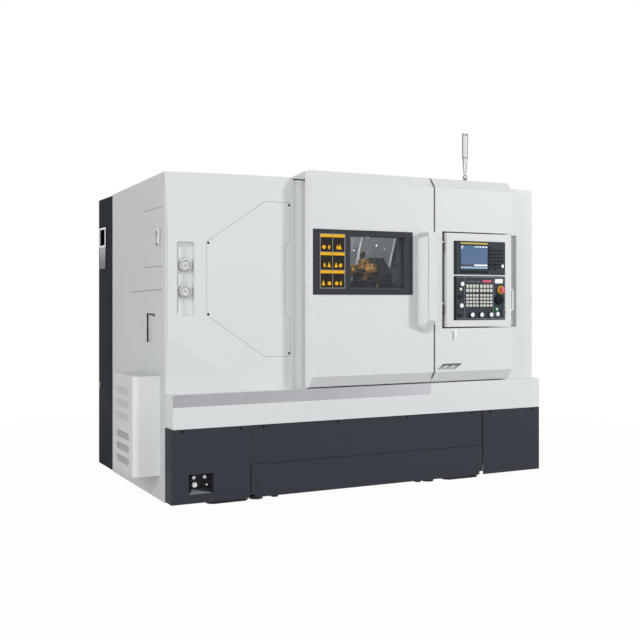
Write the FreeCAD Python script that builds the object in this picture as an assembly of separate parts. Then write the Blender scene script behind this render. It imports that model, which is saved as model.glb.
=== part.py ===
import FreeCAD, Part
import math
import os

os.makedirs("parts", exist_ok=True)

V = FreeCAD.Vector

# ---------------------------------------------------------------------------
# Driving dimensions, millimetres.  While modelling, x runs to the right from
# the left side, y runs to the rear from the skirt's front, z is up from the
# floor.  The finished pieces are moved so that the origin is the middle of the
# footprint.
# ---------------------------------------------------------------------------

# Overall body
BODY_LENGTH = 2580.0
BODY_DEPTH = 1242.0
SHEET = 3.0
SEAM = 2.0
GAP = 1.0
RUN = 0.4
SHAFT_CLEARANCE = 0.05

# Skirt and ledge
SKIRT_BOTTOM = 40.0
SKIRT_TOP = 458.0
SKIRT_RETURN = 115.0
SKIRT_STEP = 224.0
SKIRT_STEP_OUT = 6.0
SEAM_LEFT = 0.1845 * BODY_LENGTH
SEAM_RIGHT = 0.819 * BODY_LENGTH
SKIRT_SEAM = 8.0
LEDGE_TOP = 650.0
WEAR_LEFT = 7.5
WEAR_RIGHT = 0.6632 * BODY_LENGTH
WEAR_HEIGHT = 70.0
WEAR_SHEET = 1.5
COUPLING_LEFT = 100.0
COUPLING_RIGHT = 248.0
COUPLING_BOTTOM = 90.0
COUPLING_TOP = 202.0
COUPLING_DEPTH = 60.0

# Left end: headstock guard, side panel, roof
GUARD_FRONT = 60.0
GUARD_RIGHT = 0.2992 * BODY_LENGTH
GUARD_TOP = 1906.0
SIDE_FRONT = 123.0
FACET_UP_Z = 1570.0
FACET_UP_X = 0.635 * GUARD_RIGHT
FACET_LOW_Z = 975.0
FACET_LOW_X = 0.641 * GUARD_RIGHT
FACET_LOW_SETBACK = 52.0
ROOF_DROP = 25.0
SIDE_BOTTOM = 33.0
GAUGE_X = 102.0
GAUGE_Z = (1374.0, 1227.0)
GAUGE_RADIUS = 35.0
POCKET_LEFT = 52.0
POCKET_RIGHT = 156.0
POCKET_BOTTOM = 1090.0
POCKET_TOP = 1508.0
POCKET_DEPTH = 45.0
COVER_LEFT = 0.2966 * GUARD_RIGHT
COVER_STEP = 0.763 * GUARD_RIGHT
COVER_RIGHT = GUARD_RIGHT - 19.0
COVER_NOTCH = COVER_RIGHT - 36.0
COVER_BOTTOM = 846.0
COVER_LOW = 1094.0
COVER_HIGH = 1510.0
COVER_TOP = 1755.0

# Left side fittings
HATCH_FRONT = 166.0
HATCH_REAR = 534.0
HATCH_BOTTOM = 1372.0
HATCH_TOP = 1707.0
SERVICE_FRONT = 304.0
SERVICE_REAR = 468.0
SERVICE_BOTTOM = 928.0
SERVICE_TOP = 1100.0
SERVICE_DEPTH = 10.0
BAR_FEED_RADIUS = 34.0
LOUVER_OUT = 157.0
LOUVER_FRONT = 205.0
LOUVER_REAR = 611.0
LOUVER_BOTTOM = 173.0
LOUVER_TOP = 745.0
LOUVER_ROUND = 35.0
LOUVER_DROPS = (77.0, 151.0, 225.0, 336.0, 408.0, 481.0)
LOUVER_ROWS = 4
LOUVER_PITCH = 10.5
LOUVER_SLOT = 6.0

# Sliding door
DOOR_LEFT = GUARD_RIGHT + 76.0
DOOR_RIGHT = 0.6605 * BODY_LENGTH
DOOR_LENGTH = DOOR_RIGHT - DOOR_LEFT
DOOR_FRONT = -50.0
DOOR_BACK = 53.0
DOOR_TOP = 1950.0
DOOR_FOLD_TOP = 1886.0
DOOR_FOLD_LOW = 724.0
DOOR_EDGE_LOW = 660.0
WINDOW_RIGHT = DOOR_LEFT + 0.805 * DOOR_LENGTH
WINDOW_BOTTOM = 1212.0
WINDOW_TOP = 1596.0
WINDOW_PLATE = 4.0
GLASS_LEFT = DOOR_LEFT + 0.29 * DOOR_LENGTH
GLASS_RIGHT = WINDOW_RIGHT - 52.0
GLASS_BOTTOM = 1245.0
GLASS_TOP = 1568.0
GLASS_THICK = 10.0
NOTICE_LEFT = DOOR_LEFT + 45.0
NOTICE_RIGHT = GLASS_LEFT - 34.0
NOTICE_BOTTOM = 1247.0
NOTICE_TOP = 1572.0
HANDLE_LEFT = DOOR_RIGHT - 94.0
HANDLE_WIDTH = 55.0
HANDLE_THICK = 12.0
HANDLE_OUT = 80.0
HANDLE_BOTTOM = 970.0
HANDLE_TOP = 1600.0

# Right panel, end cover, hood
PANEL_LEFT = DOOR_RIGHT + 6.0
PANEL_RIGHT = 0.8977 * BODY_LENGTH
RECESS_LEFT = PANEL_LEFT + 52.0
RECESS_RIGHT = BODY_LENGTH - 132.0
RECESS_BOTTOM = 998.0
RECESS_TOP = 1612.0
RECESS_BACK = 100.0
END_FRONT = 75.0
END_TOP = 1924.0
HOOD_FRONT = 56.0
HOOD_BEND_Y = 235.0
HOOD_BEND_Z = 1933.0
HOOD_REAR_Z = 1885.0
SLOT_LEFT = PANEL_LEFT + 4.0
SLOT_RIGHT = SLOT_LEFT + 203.0
SLOT_BOTTOM = 737.0
SLOT_TOP = 775.0
SLOT_LEAN = 55.0

# Console
BOX_LEFT = RECESS_LEFT + 24.0
BOX_RIGHT = PANEL_RIGHT - 5.0
BOX_BOTTOM = 1007.0
BOX_TOP = 1604.0
BOX_DEPTH = 90.0
UNIT_LEFT = BOX_LEFT + 66.0
UNIT_RIGHT = BOX_RIGHT - 59.0
UNIT_WIDTH = UNIT_RIGHT - UNIT_LEFT
DISPLAY_BOTTOM = 1342.0
DISPLAY_TOP = 1554.0
KEYS_BOTTOM = 1050.0
KEYS_TOP = 1330.0
UNIT_FACE = 5.0
UNIT_BODY = 40.0
HINGE_Z = (1150.0, 1540.0)
HINGE_PIN = 4.0
LEVER_X = BOX_LEFT + 72.0
LEVER_Z = 978.0
LEVER_LENGTH = 50.0
LEVER_STEM = 5.0
STEM_RADIUS = 4.0
HEAD_LIFT = 4.0

# Rear electric cabinet
CABINET_LENGTH = 1500.0
LEAF_LEFT = 0.4 * CABINET_LENGTH
CABINET_DEPTH = 371.0
CABINET_BOTTOM = 38.0
CABINET_TOP = 1875.0
TURN_OUT = 22.0

# Spindle line and slanted bed
SPINDLE_Y = 430.0
SPINDLE_Z = 1040.0
SLANT = 45.0
BED_N = 395.0
WAY_HEIGHT = 25.0
BED_LEFT = 90.0
BED_RIGHT = BODY_LENGTH - 220.0
BED_WALL = 32.0
BED_RIB = 40.0
BED_BAYS = 4
BED_FLANGE = 120.0
WALL_X = DOOR_LEFT + 49.0
WAY_LEFT = WALL_X + 43.0
TAIL_WAYS = (-195.0, -60.0)
SADDLE_WAYS = (30.0, 400.0)
TAIL_WAY_WIDTH = 30.0
SADDLE_WAY_WIDTH = 50.0
HEADSTOCK_LEFT = 330.0
HEADSTOCK_RIGHT = WALL_X - 17.0
SPINDLE_RADIUS = 82.0
SPINDLE_BORE = 26.0
CHUCK_LEFT = WALL_X + 53.0
CHUCK_WIDTH = 115.0
CHUCK_RADIUS = 127.0
JAW_WIDTH = 40.0
JAW_COUNT = 3
SPINDLE_PULLEY = 110.0
MOTOR_PULLEY = 75.0
PULLEY_LEFT = HEADSTOCK_LEFT - 85.0
PULLEY_WIDTH = 62.0
BELT_THICK = 8.0
MOTOR_Y = 300.0
MOTOR_Z = 625.0
MOTOR_HALF = 120.0
MOTOR_LENGTH = 0.64 * (HEADSTOCK_RIGHT - HEADSTOCK_LEFT)
SADDLE_LEFT = 0.6744 * BODY_LENGTH
SADDLE_RIGHT = SADDLE_LEFT + 300.0
SADDLE_THICK = 90.0
SLIDE_THICK = 80.0
TURRET_S = 335.0
TURRET_RADIUS = 190.0
TURRET_LEFT = SADDLE_LEFT - 120.0
TURRET_WIDTH = 90.0
TURRET_STATIONS = 8
TAIL_LEFT = SADDLE_RIGHT + 30.0
TAIL_RIGHT = TAIL_LEFT + 240.0
QUILL_RADIUS = 35.0
QUILL_OUT = 80.0
SCREW_RADIUS = 16.0
SCREW_S = 225.0
SCREW_N = WAY_HEIGHT - BED_N + 36.0

PAD_HEIGHT = 34.0
FOOT_FRONT = 110.0
FOOT_REAR = BODY_DEPTH - 120.0
FOOT_BLOCKS = (
    (0.1015 * BODY_LENGTH, 0.1990 * BODY_LENGTH),
    (0.2035 * BODY_LENGTH, 0.2815 * BODY_LENGTH),
    (0.6530 * BODY_LENGTH, 0.7115 * BODY_LENGTH),
    (0.7388 * BODY_LENGTH, 0.8410 * BODY_LENGTH),
)
LEVEL_PADS = ((0.2225, 42.0), (0.2694, 23.0), (0.6636, 23.0), (0.6928, 40.0))
FLOOR_SHELF = 480.0

ORIGIN_X = (BODY_LENGTH - LOUVER_OUT) / 2.0
ORIGIN_Y = (DOOR_FRONT - HANDLE_OUT + BODY_DEPTH + CABINET_DEPTH + TURN_OUT) / 2.0


# ---------------------------------------------------------------------------
# Small helpers
# ---------------------------------------------------------------------------

def block(x0, x1, y0, y1, z0, z1):
    return Part.makeBox(x1 - x0, y1 - y0, z1 - z0, V(x0, y0, z0))


def rod(start, axis, radius, length, sides=0):
    """Round bar, or an even-sided one where a count of sides is given."""
    if sides:
        return turned([(0, 0), (0, radius), (length, radius), (length, 0)], start, axis, sides)
    return Part.makeCylinder(radius, length, V(*start), V(*axis))


def prism_x(points, x0, x1):
    """Extrude an outline of (y, z) points along x."""
    corners = [V(x0, y, z) for y, z in points]
    face = Part.Face(Part.makePolygon(corners + corners[:1]))
    return face.extrude(V(x1 - x0, 0, 0))


def prism_y(points, y0, y1):
    """Extrude an outline of (x, z) points along y."""
    corners = [V(x, y0, z) for x, z in points]
    face = Part.Face(Part.makePolygon(corners + corners[:1]))
    return face.extrude(V(0, y1 - y0, 0))


def prism_z(points, z0, z1):
    """Extrude an outline of (x, y) points along z."""
    corners = [V(x, y, z0) for x, y in points]
    face = Part.Face(Part.makePolygon(corners + corners[:1]))
    return face.extrude(V(0, 0, z1 - z0))


def flat_sided(profile, sides):
    """Form with an even polygon of corners at each (along, radius) point of its outline."""
    turn = 2 * math.pi / sides
    rings = []
    for along, radius in profile:
        rings.append([V(radius * math.cos(k * turn), radius * math.sin(k * turn), along) for k in range(sides)])
    faces = []
    for near, far in zip(rings, rings[1:] + rings[:1]):
        for k in range(sides):
            corners = [near[k], near[(k + 1) % sides], far[(k + 1) % sides], far[k]]
            corners = [p for i, p in enumerate(corners) if (p - corners[i - 1]).Length > 1e-6]
            if len(corners) > 2:
                faces.append(Part.Face(Part.makePolygon(corners + corners[:1])))
    solid = Part.Solid(Part.Shell(faces))
    if solid.Volume < 0:
        solid.reverse()
    return solid.removeSplitter()


def turned(profile, centre, axis, sides=0):
    """Turn an outline of (along, radius) points about an axis: truly round, or with so many sides."""
    if sides:
        solid = flat_sided(profile, sides)
    else:
        corners = [V(r, 0, a) for a, r in profile]
        face = Part.Face(Part.makePolygon(corners + corners[:1]))
        solid = face.revolve(V(0, 0, 0), V(0, 0, 1), 360)
    turn = FreeCAD.Rotation(V(0, 0, 1), V(*axis))
    solid.Placement = FreeCAD.Placement(V(*centre), turn)
    return solid


def fused(shapes):
    shapes = list(shapes)
    return shapes[0].multiFuse(shapes[1:]).removeSplitter()


def bore(start, axis, radius, length, sides):
    """Even-sided hole whose flats stand at the radius, so a bar of that size turns in it."""
    return rod(start, axis, radius / math.cos(math.pi / sides), length, sides)


def edges_along(shape, axis, keep):
    """Straight edges parallel to an axis whose middle passes a test."""
    found = []
    for edge in shape.Edges:
        if len(edge.Vertexes) != 2 or not isinstance(edge.Curve, Part.Line):
            continue
        way = edge.Vertexes[1].Point - edge.Vertexes[0].Point
        middle = (edge.Vertexes[1].Point + edge.Vertexes[0].Point) * 0.5
        if way.cross(V(*axis)).Length < 1e-6 * way.Length and keep(middle):
            found.append(edge)
    return found


def slant(s, n):
    """A point (y, z): s up along the bed's slope, n out from it, both from the spindle."""
    lean = math.radians(SLANT)
    y = SPINDLE_Y + s * math.cos(lean) - n * math.sin(lean)
    z = SPINDLE_Z + s * math.sin(lean) + n * math.cos(lean)
    return y, z


def slant_block(x0, x1, s0, s1, n0, n1):
    corners = [slant(s0, n0), slant(s1, n0), slant(s1, n1), slant(s0, n1)]
    return prism_x(corners, x0, x1)


def slant_rod(x0, x1, s, n, radius, sides=0):
    y, z = slant(s, n)
    return rod((x0, y, z), (1, 0, 0), radius, x1 - x0, sides)


def slant_bore(x0, x1, s, n, radius, sides):
    y, z = slant(s, n)
    return bore((x0, y, z), (1, 0, 0), radius, x1 - x0, sides)


pieces = {}


def keep(name, shape):
    shape = shape.copy()
    shape.translate(V(-ORIGIN_X, -ORIGIN_Y, 0))
    pieces[name] = shape

# ---------------------------------------------------------------------------
# Base, skirt and ledge
# ---------------------------------------------------------------------------

def base_casting():
    """Hollow ribbed bed: flat front shelf, then a slope that carries the slideways."""
    low_y, low_z = slant(TAIL_WAYS[0] - 20, -BED_N)
    high_y, high_z = slant(SADDLE_WAYS[1] + 100, -BED_N)
    rear = BODY_DEPTH - 110
    outline = [(160, 70), (rear, 70), (rear, high_z - 60), (high_y, high_z), (low_y, low_z)]
    outline += [(low_y - 60, FLOOR_SHELF), (160, FLOOR_SHELF)]
    bed = prism_x(outline, BED_LEFT, BED_RIGHT)
    corners = [V(BED_LEFT, y, z) for y, z in outline]
    section = Part.Face(Part.makePolygon(corners + corners[:1])).makeOffset2D(-BED_WALL)
    bay = (BED_RIGHT - BED_LEFT - BED_RIB * (BED_BAYS + 1)) / BED_BAYS
    for index in range(BED_BAYS):
        room = section.extrude(V(bay, 0, 0))
        room.translate(V(BED_RIB + index * (bay + BED_RIB), 0, 0))
        window = block(BED_LEFT + BED_RIB, BED_LEFT + BED_RIB + bay, rear - 100, rear + 1, 200, 420)
        window = window.makeChamfer(40, edges_along(window, (0, 1, 0), lambda p: True))
        core = block(BED_LEFT + BED_RIB + 55, BED_LEFT + BED_RIB + bay - 55, 160 + BED_FLANGE, rear - BED_FLANGE,
                     60, 120)
        for opening in (window, core):
            opening.translate(V(index * (bay + BED_RIB), 0, 0))
        bed = bed.cut(room).cut(window).cut(core)
    ways = []
    for left, width in ((TAIL_WAYS, TAIL_WAY_WIDTH), (SADDLE_WAYS, SADDLE_WAY_WIDTH)):
        for s in left:
            ways.append(slant_block(WAY_LEFT, BED_RIGHT, s, s + width, -BED_N, WAY_HEIGHT - BED_N))
    for x0, x1 in ((WAY_LEFT - 30, WAY_LEFT + 10), (BED_RIGHT - 40, BED_RIGHT)):
        stand = slant_block(x0, x1, SCREW_S - 32, SCREW_S + 32, -BED_N, SCREW_N + 32)
        ways.append(stand.cut(slant_bore(x0 - 1, x1 + 1, SCREW_S, SCREW_N, SCREW_RADIUS + SHAFT_CLEARANCE, 12)))
    feet = []
    for left, right in FOOT_BLOCKS:
        feet.append(block(left, right, FOOT_FRONT, FOOT_FRONT + 130, PAD_HEIGHT, 70))
        feet.append(block(left, right, FOOT_REAR - 105, FOOT_REAR, PAD_HEIGHT, 70))
    return fused([bed] + ways + feet)


keep("base_casting", base_casting())


def leveling_pad(x, y, radius):
    outline = [(0, 0), (0, radius), (12, radius), (PAD_HEIGHT - 4, radius * 0.6), (PAD_HEIGHT, radius * 0.6)]
    return turned(outline + [(PAD_HEIGHT, 0)], (x, y, 0), (0, 0, 1), 10)


def long_pad(left, right, front, rear):
    pad = block(left, right, front, rear, 0, PAD_HEIGHT)
    return pad.makeChamfer(24, edges_along(pad, (0, 0, 1), lambda p: True))


pads = []
for row_front in (FOOT_FRONT + 5, FOOT_REAR - 98):
    middle_y = row_front + 45
    for foot_left, foot_right in (FOOT_BLOCKS[0], FOOT_BLOCKS[3]):
        pads.append(long_pad(foot_left, foot_right, row_front, row_front + 90))
    for pad_share, pad_radius in LEVEL_PADS:
        pads.append(leveling_pad(pad_share * BODY_LENGTH, middle_y, pad_radius))
keep("leveling_feet", Part.makeCompound(pads))


def skirt_plate(x0, x1, notch_left, notch_right):
    """Folded plate: lower part stands proud, top and bottom edges turn inward."""
    step = SKIRT_STEP_OUT
    outline = [(0, SKIRT_BOTTOM), (0, SKIRT_STEP), (step, SKIRT_STEP + step), (step, SKIRT_TOP)]
    inner = [(40, SKIRT_TOP), (40, SKIRT_TOP - SHEET), (step + SHEET, SKIRT_TOP - SHEET)]
    inner += [(step + SHEET, SKIRT_STEP + step), (SHEET, SKIRT_STEP), (SHEET, SKIRT_BOTTOM + SHEET)]
    inner += [(40, SKIRT_BOTTOM + SHEET), (40, SKIRT_BOTTOM)]
    plate = prism_x(outline + inner, x0, x1)
    cut = 22
    if notch_left:
        plate = plate.cut(block(x0, x0 + cut, 0, 40, SKIRT_BOTTOM, SKIRT_BOTTOM + cut))
    if notch_right:
        plate = plate.cut(block(x1 - cut, x1, 0, 40, SKIRT_BOTTOM, SKIRT_BOTTOM + cut))
    return plate


def flat_skirt(x0, x1, side):
    """End plate with a return along the side it closes: side -1 left, +1 right."""
    front = block(x0, x1, 0, SHEET, SKIRT_BOTTOM, SKIRT_TOP)
    edge = x0 if side < 0 else x1 - SHEET
    turn = block(edge, edge + SHEET, 0, SKIRT_RETURN, SKIRT_BOTTOM, SKIRT_TOP)
    return fused([front, turn])


left_skirt = flat_skirt(0, SEAM_LEFT - SKIRT_SEAM / 2, -1)
mid = (COUPLING_LEFT + COUPLING_RIGHT) / 2
lip = 4
well = [(-1, COUPLING_BOTTOM), (SHEET, COUPLING_BOTTOM), (COUPLING_DEPTH, COUPLING_BOTTOM + 30)]
well += [(COUPLING_DEPTH, COUPLING_TOP), (-1, COUPLING_TOP)]
well_room = prism_x(well, COUPLING_LEFT, COUPLING_RIGHT)
shell = [(SHEET, COUPLING_BOTTOM - SHEET), (COUPLING_DEPTH + SHEET, COUPLING_BOTTOM + 27)]
shell += [(COUPLING_DEPTH + SHEET, COUPLING_TOP + SHEET), (SHEET, COUPLING_TOP + SHEET)]
well_shell = prism_x(shell, COUPLING_LEFT - SHEET, COUPLING_RIGHT + SHEET)
keep("skirt_left", left_skirt.fuse(well_shell).cut(well_room).removeSplitter())
keep("skirt_middle", skirt_plate(SEAM_LEFT + SKIRT_SEAM / 2, SEAM_RIGHT - SKIRT_SEAM / 2, True, True))
keep("skirt_right", flat_skirt(SEAM_RIGHT + SKIRT_SEAM / 2, BODY_LENGTH, 1))


def coupling(x, z, radius, out):
    """Hexagonal body with a ribbed sleeve and a bored mouth."""
    length = COUPLING_DEPTH - out
    profile = [(0, 0), (0, radius), (length * 0.3, radius), (length * 0.36, radius * 0.8)]
    profile += [(length * 0.7, radius * 0.8), (length * 0.76, radius * 0.95), (length, radius * 0.95)]
    profile += [(length, radius * 0.5), (length * 0.6, radius * 0.5), (length * 0.6, 0)]
    return turned(profile, (x, COUPLING_DEPTH, z), (0, -1, 0), 8)


fittings = []
for side in (-1, 1):
    fittings.append(coupling(mid + side * 30, COUPLING_TOP - 30, 12, 14))
    fittings.append(coupling(mid + side * 30, COUPLING_BOTTOM + 48, 14, 10))
keep("air_couplings", Part.makeCompound(fittings))

ledge_outline = [(0, SKIRT_TOP), (0, LEDGE_TOP), (110, LEDGE_TOP)]
ledge_outline += [(110, LEDGE_TOP - SHEET), (SHEET, LEDGE_TOP - SHEET), (SHEET, SKIRT_TOP + SHEET)]
ledge_outline += [(40, SKIRT_TOP + SHEET), (40, SKIRT_TOP)]
ledge = prism_x(ledge_outline, WEAR_LEFT, BODY_LENGTH)
ledge_ends = []
for end_x in (WEAR_LEFT, BODY_LENGTH - SHEET):
    ledge_ends.append(block(end_x, end_x + SHEET, 0, 110, SKIRT_TOP, LEDGE_TOP))
strip_seat = block(WEAR_LEFT, WEAR_RIGHT, 0, WEAR_SHEET, LEDGE_TOP - WEAR_HEIGHT, LEDGE_TOP)
keep("front_ledge", fused([ledge] + ledge_ends).cut(strip_seat))
keep("wear_strip", strip_seat)


# ---------------------------------------------------------------------------
# Left end: headstock guard, cover, gauges, side panel, hatch, louvred box
# ---------------------------------------------------------------------------

def corner_cut(a, b, c, away):
    """Large wedge beyond the plane through three points, on the side of a fourth."""
    a, b, c, away = V(*a), V(*b), V(*c), V(*away)
    normal = (b - a).cross(c - a)
    normal.normalize()
    if (away - a).dot(normal) < 0:
        normal = normal * -1
    half = 3000.0
    wedge = Part.makeBox(2 * half, 2 * half, half, V(-half, -half, 0))
    wedge.Placement = FreeCAD.Placement(a, FreeCAD.Rotation(V(0, 0, 1), normal))
    return wedge


def guard_form(inset):
    """Box with its two left corners folded back to the side panel."""
    form = block(inset, GUARD_RIGHT - inset, GUARD_FRONT + inset, SIDE_FRONT,
                 LEDGE_TOP + inset, GUARD_TOP - inset)
    grow = inset * 1.4
    upper = corner_cut((grow, GUARD_FRONT, FACET_UP_Z - grow), (FACET_UP_X + grow, GUARD_FRONT, GUARD_TOP - grow),
                       (grow, SIDE_FRONT, GUARD_TOP - grow), (0, GUARD_FRONT, GUARD_TOP))
    low_y = GUARD_FRONT + FACET_LOW_SETBACK
    lower = corner_cut((grow, GUARD_FRONT, FACET_LOW_Z + grow), (FACET_LOW_X + grow, GUARD_FRONT, LEDGE_TOP + grow),
                       (grow, low_y, LEDGE_TOP + grow), (0, GUARD_FRONT, LEDGE_TOP))
    return form.cut(upper).cut(lower)


cover_points = [(COVER_LEFT, COVER_LOW), (COVER_LEFT, COVER_HIGH), (COVER_STEP, COVER_TOP)]
cover_points += [(COVER_RIGHT, COVER_TOP), (COVER_RIGHT, COVER_HIGH + 16), (COVER_NOTCH, COVER_HIGH - 8)]
cover_points += [(COVER_NOTCH, COVER_LOW), (COVER_RIGHT, COVER_LOW - 25), (COVER_RIGHT, COVER_BOTTOM)]
cover_points += [(COVER_STEP, COVER_BOTTOM)]
cover_face = prism_y(cover_points, GUARD_FRONT, GUARD_FRONT + SHEET)
cover_hole = cover_face.makeOffsetShape(SEAM, 0.01, join=2)
cover_hole = cover_hole if cover_hole.Volume > 0 else cover_hole.reversed()
rim_back = cover_face.makeOffsetShape(14, 0.01, join=2)
rim_back = rim_back.common(block(0, GUARD_RIGHT, GUARD_FRONT + SHEET, GUARD_FRONT + 2 * SHEET, 0, GUARD_TOP))
rim_hole = prism_y(cover_points, 0, 200).makeOffsetShape(-12, 0.01, join=2)

guard = guard_form(0).cut(guard_form(SHEET)).cut(block(SHEET, GUARD_RIGHT - SHEET, SIDE_FRONT - 1, SIDE_FRONT,
                                                      LEDGE_TOP + SHEET, GUARD_TOP - SHEET))
pocket_shell = block(POCKET_LEFT - SHEET, POCKET_RIGHT + SHEET, GUARD_FRONT, GUARD_FRONT + POCKET_DEPTH + SHEET,
                     POCKET_BOTTOM - SHEET, POCKET_TOP + SHEET)
pocket_room = block(POCKET_LEFT, POCKET_RIGHT, GUARD_FRONT - 1, GUARD_FRONT + POCKET_DEPTH,
                    POCKET_BOTTOM, POCKET_TOP)
corners = edges_along(pocket_room, (0, 1, 0), lambda p: True)
pocket_room = pocket_room.makeChamfer(14, corners)
guard = guard.fuse(pocket_shell).cut(pocket_room).cut(cover_hole)
guard = guard.fuse(rim_back.cut(rim_hole)).removeSplitter()
keep("headstock_guard", guard)
keep("access_cover", cover_face)

gauges = []
for gauge_z in GAUGE_Z:
    back = GUARD_FRONT + POCKET_DEPTH
    r = GAUGE_RADIUS
    dial = [(0, 0), (0, r - 4), (20, r - 4), (20, r), (28, r), (32, r - 4), (29, r - 5), (29, 0)]
    gauge = turned(dial, (GAUGE_X, back, gauge_z), (0, -1, 0), 16)
    gauges.append(gauge)
keep("pressure_gauges", Part.makeCompound(gauges))


def roof_z(y, front_z, drop):
    return front_z - drop * (y - SIDE_FRONT) / (BODY_DEPTH - SIDE_FRONT)


def side_panel():
    """Side sheet with turned-in edges, a hatch opening and a service pocket."""
    front = SIDE_FRONT
    rear_z = roof_z(BODY_DEPTH, GUARD_TOP, ROOF_DROP)
    outline = [(front - 6, SIDE_BOTTOM), (BODY_DEPTH, SIDE_BOTTOM), (BODY_DEPTH, rear_z - SHEET)]
    outline += [(front, GUARD_TOP - SHEET), (front, LEDGE_TOP), (front - 6, LEDGE_TOP)]
    sheet = prism_x(outline, 0, SHEET)
    hem = block(SHEET, 30, front, BODY_DEPTH, SIDE_BOTTOM, SIDE_BOTTOM + SHEET)
    rear = block(SHEET, 30, BODY_DEPTH - SHEET, BODY_DEPTH, SIDE_BOTTOM, rear_z - SHEET)
    well = block(0, SERVICE_DEPTH + SHEET, SERVICE_FRONT - SHEET, SERVICE_REAR + SHEET,
                 SERVICE_BOTTOM - SHEET, SERVICE_TOP + SHEET)
    room = block(-1, SERVICE_DEPTH, SERVICE_FRONT, SERVICE_REAR, SERVICE_BOTTOM, SERVICE_TOP)
    hatch = block(-1, 50, HATCH_FRONT - SEAM, HATCH_REAR + SEAM, HATCH_BOTTOM - SEAM, HATCH_TOP + SEAM)
    rim_out = block(SHEET, 2 * SHEET, HATCH_FRONT - 16, HATCH_REAR + 16, HATCH_BOTTOM - 16, HATCH_TOP + 16)
    rim_in = block(-1, 50, HATCH_FRONT + 12, HATCH_REAR - 12, HATCH_BOTTOM + 12, HATCH_TOP - 12)
    bar_feed = rod((0, SPINDLE_Y, SPINDLE_Z), (1, 0, 0), BAR_FEED_RADIUS, SERVICE_DEPTH + 20, 16)
    panel = fused([sheet, hem, rear, well]).cut(room).cut(bar_feed).cut(hatch)
    return panel.fuse(rim_out.cut(rim_in)).removeSplitter()


keep("side_panel", side_panel())

hatch_mid = (HATCH_BOTTOM + HATCH_TOP) / 2
hatch_door = block(0, SHEET - GAP / 2, HATCH_FRONT, HATCH_REAR, HATCH_BOTTOM, HATCH_TOP)
latch_y = HATCH_FRONT + 66
latch_z = hatch_mid
latch_hole = bore((-1, latch_y, latch_z), (1, 0, 0), 10, 10, 12)
keep("side_door", hatch_door.cut(latch_hole))
latch_plate = block(-6, -GAP, latch_y - 30, latch_y + 30, latch_z - 50, latch_z + 50)
latch_plate = latch_plate.makeChamfer(6, edges_along(latch_plate, (1, 0, 0), lambda p: True))
latch_stem = rod((-GAP, latch_y, latch_z), (1, 0, 0), 9.6, GAP + SHEET + 2, 12)
keep("side_door_latch", fused([latch_plate, latch_stem]))


def louver_box():
    """Open-backed box with a rounded front edge and rows of slots."""
    outer = block(-LOUVER_OUT, 0, LOUVER_FRONT, LOUVER_REAR, LOUVER_BOTTOM, LOUVER_TOP)
    edge = edges_along(outer, (0, 0, 1), lambda p: p.x < -1 and p.y < LOUVER_FRONT + 1)
    outer = outer.makeFillet(LOUVER_ROUND, edge)
    inner = block(SHEET - LOUVER_OUT, 1, LOUVER_FRONT + SHEET, LOUVER_REAR - SHEET,
                  LOUVER_BOTTOM + SHEET, LOUVER_TOP - SHEET)
    edge = edges_along(inner, (0, 0, 1), lambda p: p.x < -1 and p.y < LOUVER_FRONT + SHEET + 1)
    box = outer.cut(inner.makeFillet(LOUVER_ROUND - SHEET, edge))
    slots = []
    for drop in LOUVER_DROPS:
        for row in range(LOUVER_ROWS):
            z = LOUVER_TOP - drop - row * LOUVER_PITCH
            slots.append(block(-LOUVER_OUT - 1, SHEET - LOUVER_OUT + 1, 300, 560, z - LOUVER_SLOT, z))
    return box.cut(Part.makeCompound(slots))


keep("louver_box", louver_box())


# ---------------------------------------------------------------------------
# Sliding door with its window and handle
# ---------------------------------------------------------------------------

def front_profile(inset):
    """Side outline shared by the sliding door and the right panel."""
    front = DOOR_FRONT + inset
    back = DOOR_BACK
    fold = inset * 0.5
    return [(front, DOOR_FOLD_LOW + fold), (front, DOOR_FOLD_TOP - fold), (fold, DOOR_TOP - inset),
            (back, DOOR_TOP - inset), (back, LEDGE_TOP + GAP + inset), (2 * fold, DOOR_EDGE_LOW + inset)]


def front_shell(x0, x1):
    """Folded sheet with a bevel above and below, open at the back inside a lip."""
    shell = prism_x(front_profile(0), x0, x1)
    shell = shell.cut(prism_x(front_profile(SHEET), x0 + SHEET, x1 - SHEET))
    lip_z = (LEDGE_TOP + GAP, DOOR_TOP)
    lip = block(x0, x1, DOOR_BACK - SHEET, DOOR_BACK, lip_z[0], lip_z[1])
    return shell.fuse(lip.cut(block(x0 + 35, x1 - 35, 0, 100, lip_z[0] + 35, lip_z[1] - 35)))


sleeve = 6.0
tunnel = block(GLASS_LEFT - sleeve, GLASS_RIGHT + sleeve, DOOR_FRONT - 5, DOOR_BACK + 5,
               GLASS_BOTTOM - sleeve, GLASS_TOP + sleeve)
door = front_shell(DOOR_LEFT, DOOR_RIGHT).cut(tunnel)
keep("main_door", door.removeSplitter())

frame_plate = block(DOOR_LEFT + 2, WINDOW_RIGHT, DOOR_FRONT - WINDOW_PLATE, DOOR_FRONT, WINDOW_BOTTOM, WINDOW_TOP)
frame_plate = frame_plate.makeFillet(10, edges_along(frame_plate, (0, 1, 0), lambda p: p.x > WINDOW_RIGHT - 1))
frame_sleeve = block(GLASS_LEFT - sleeve, GLASS_RIGHT + sleeve, DOOR_FRONT, DOOR_BACK,
                     GLASS_BOTTOM - sleeve, GLASS_TOP + sleeve)
glass_hole = block(GLASS_LEFT, GLASS_RIGHT, DOOR_FRONT - 10, DOOR_BACK + 5, GLASS_BOTTOM, GLASS_TOP)
glass_y = DOOR_FRONT + 14
seat = block(GLASS_LEFT, GLASS_RIGHT, glass_y + GLASS_THICK, glass_y + GLASS_THICK + 6, GLASS_BOTTOM, GLASS_TOP)
seat = seat.cut(block(GLASS_LEFT + 8, GLASS_RIGHT - 8, glass_y, DOOR_BACK, GLASS_BOTTOM + 8, GLASS_TOP - 8))
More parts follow.
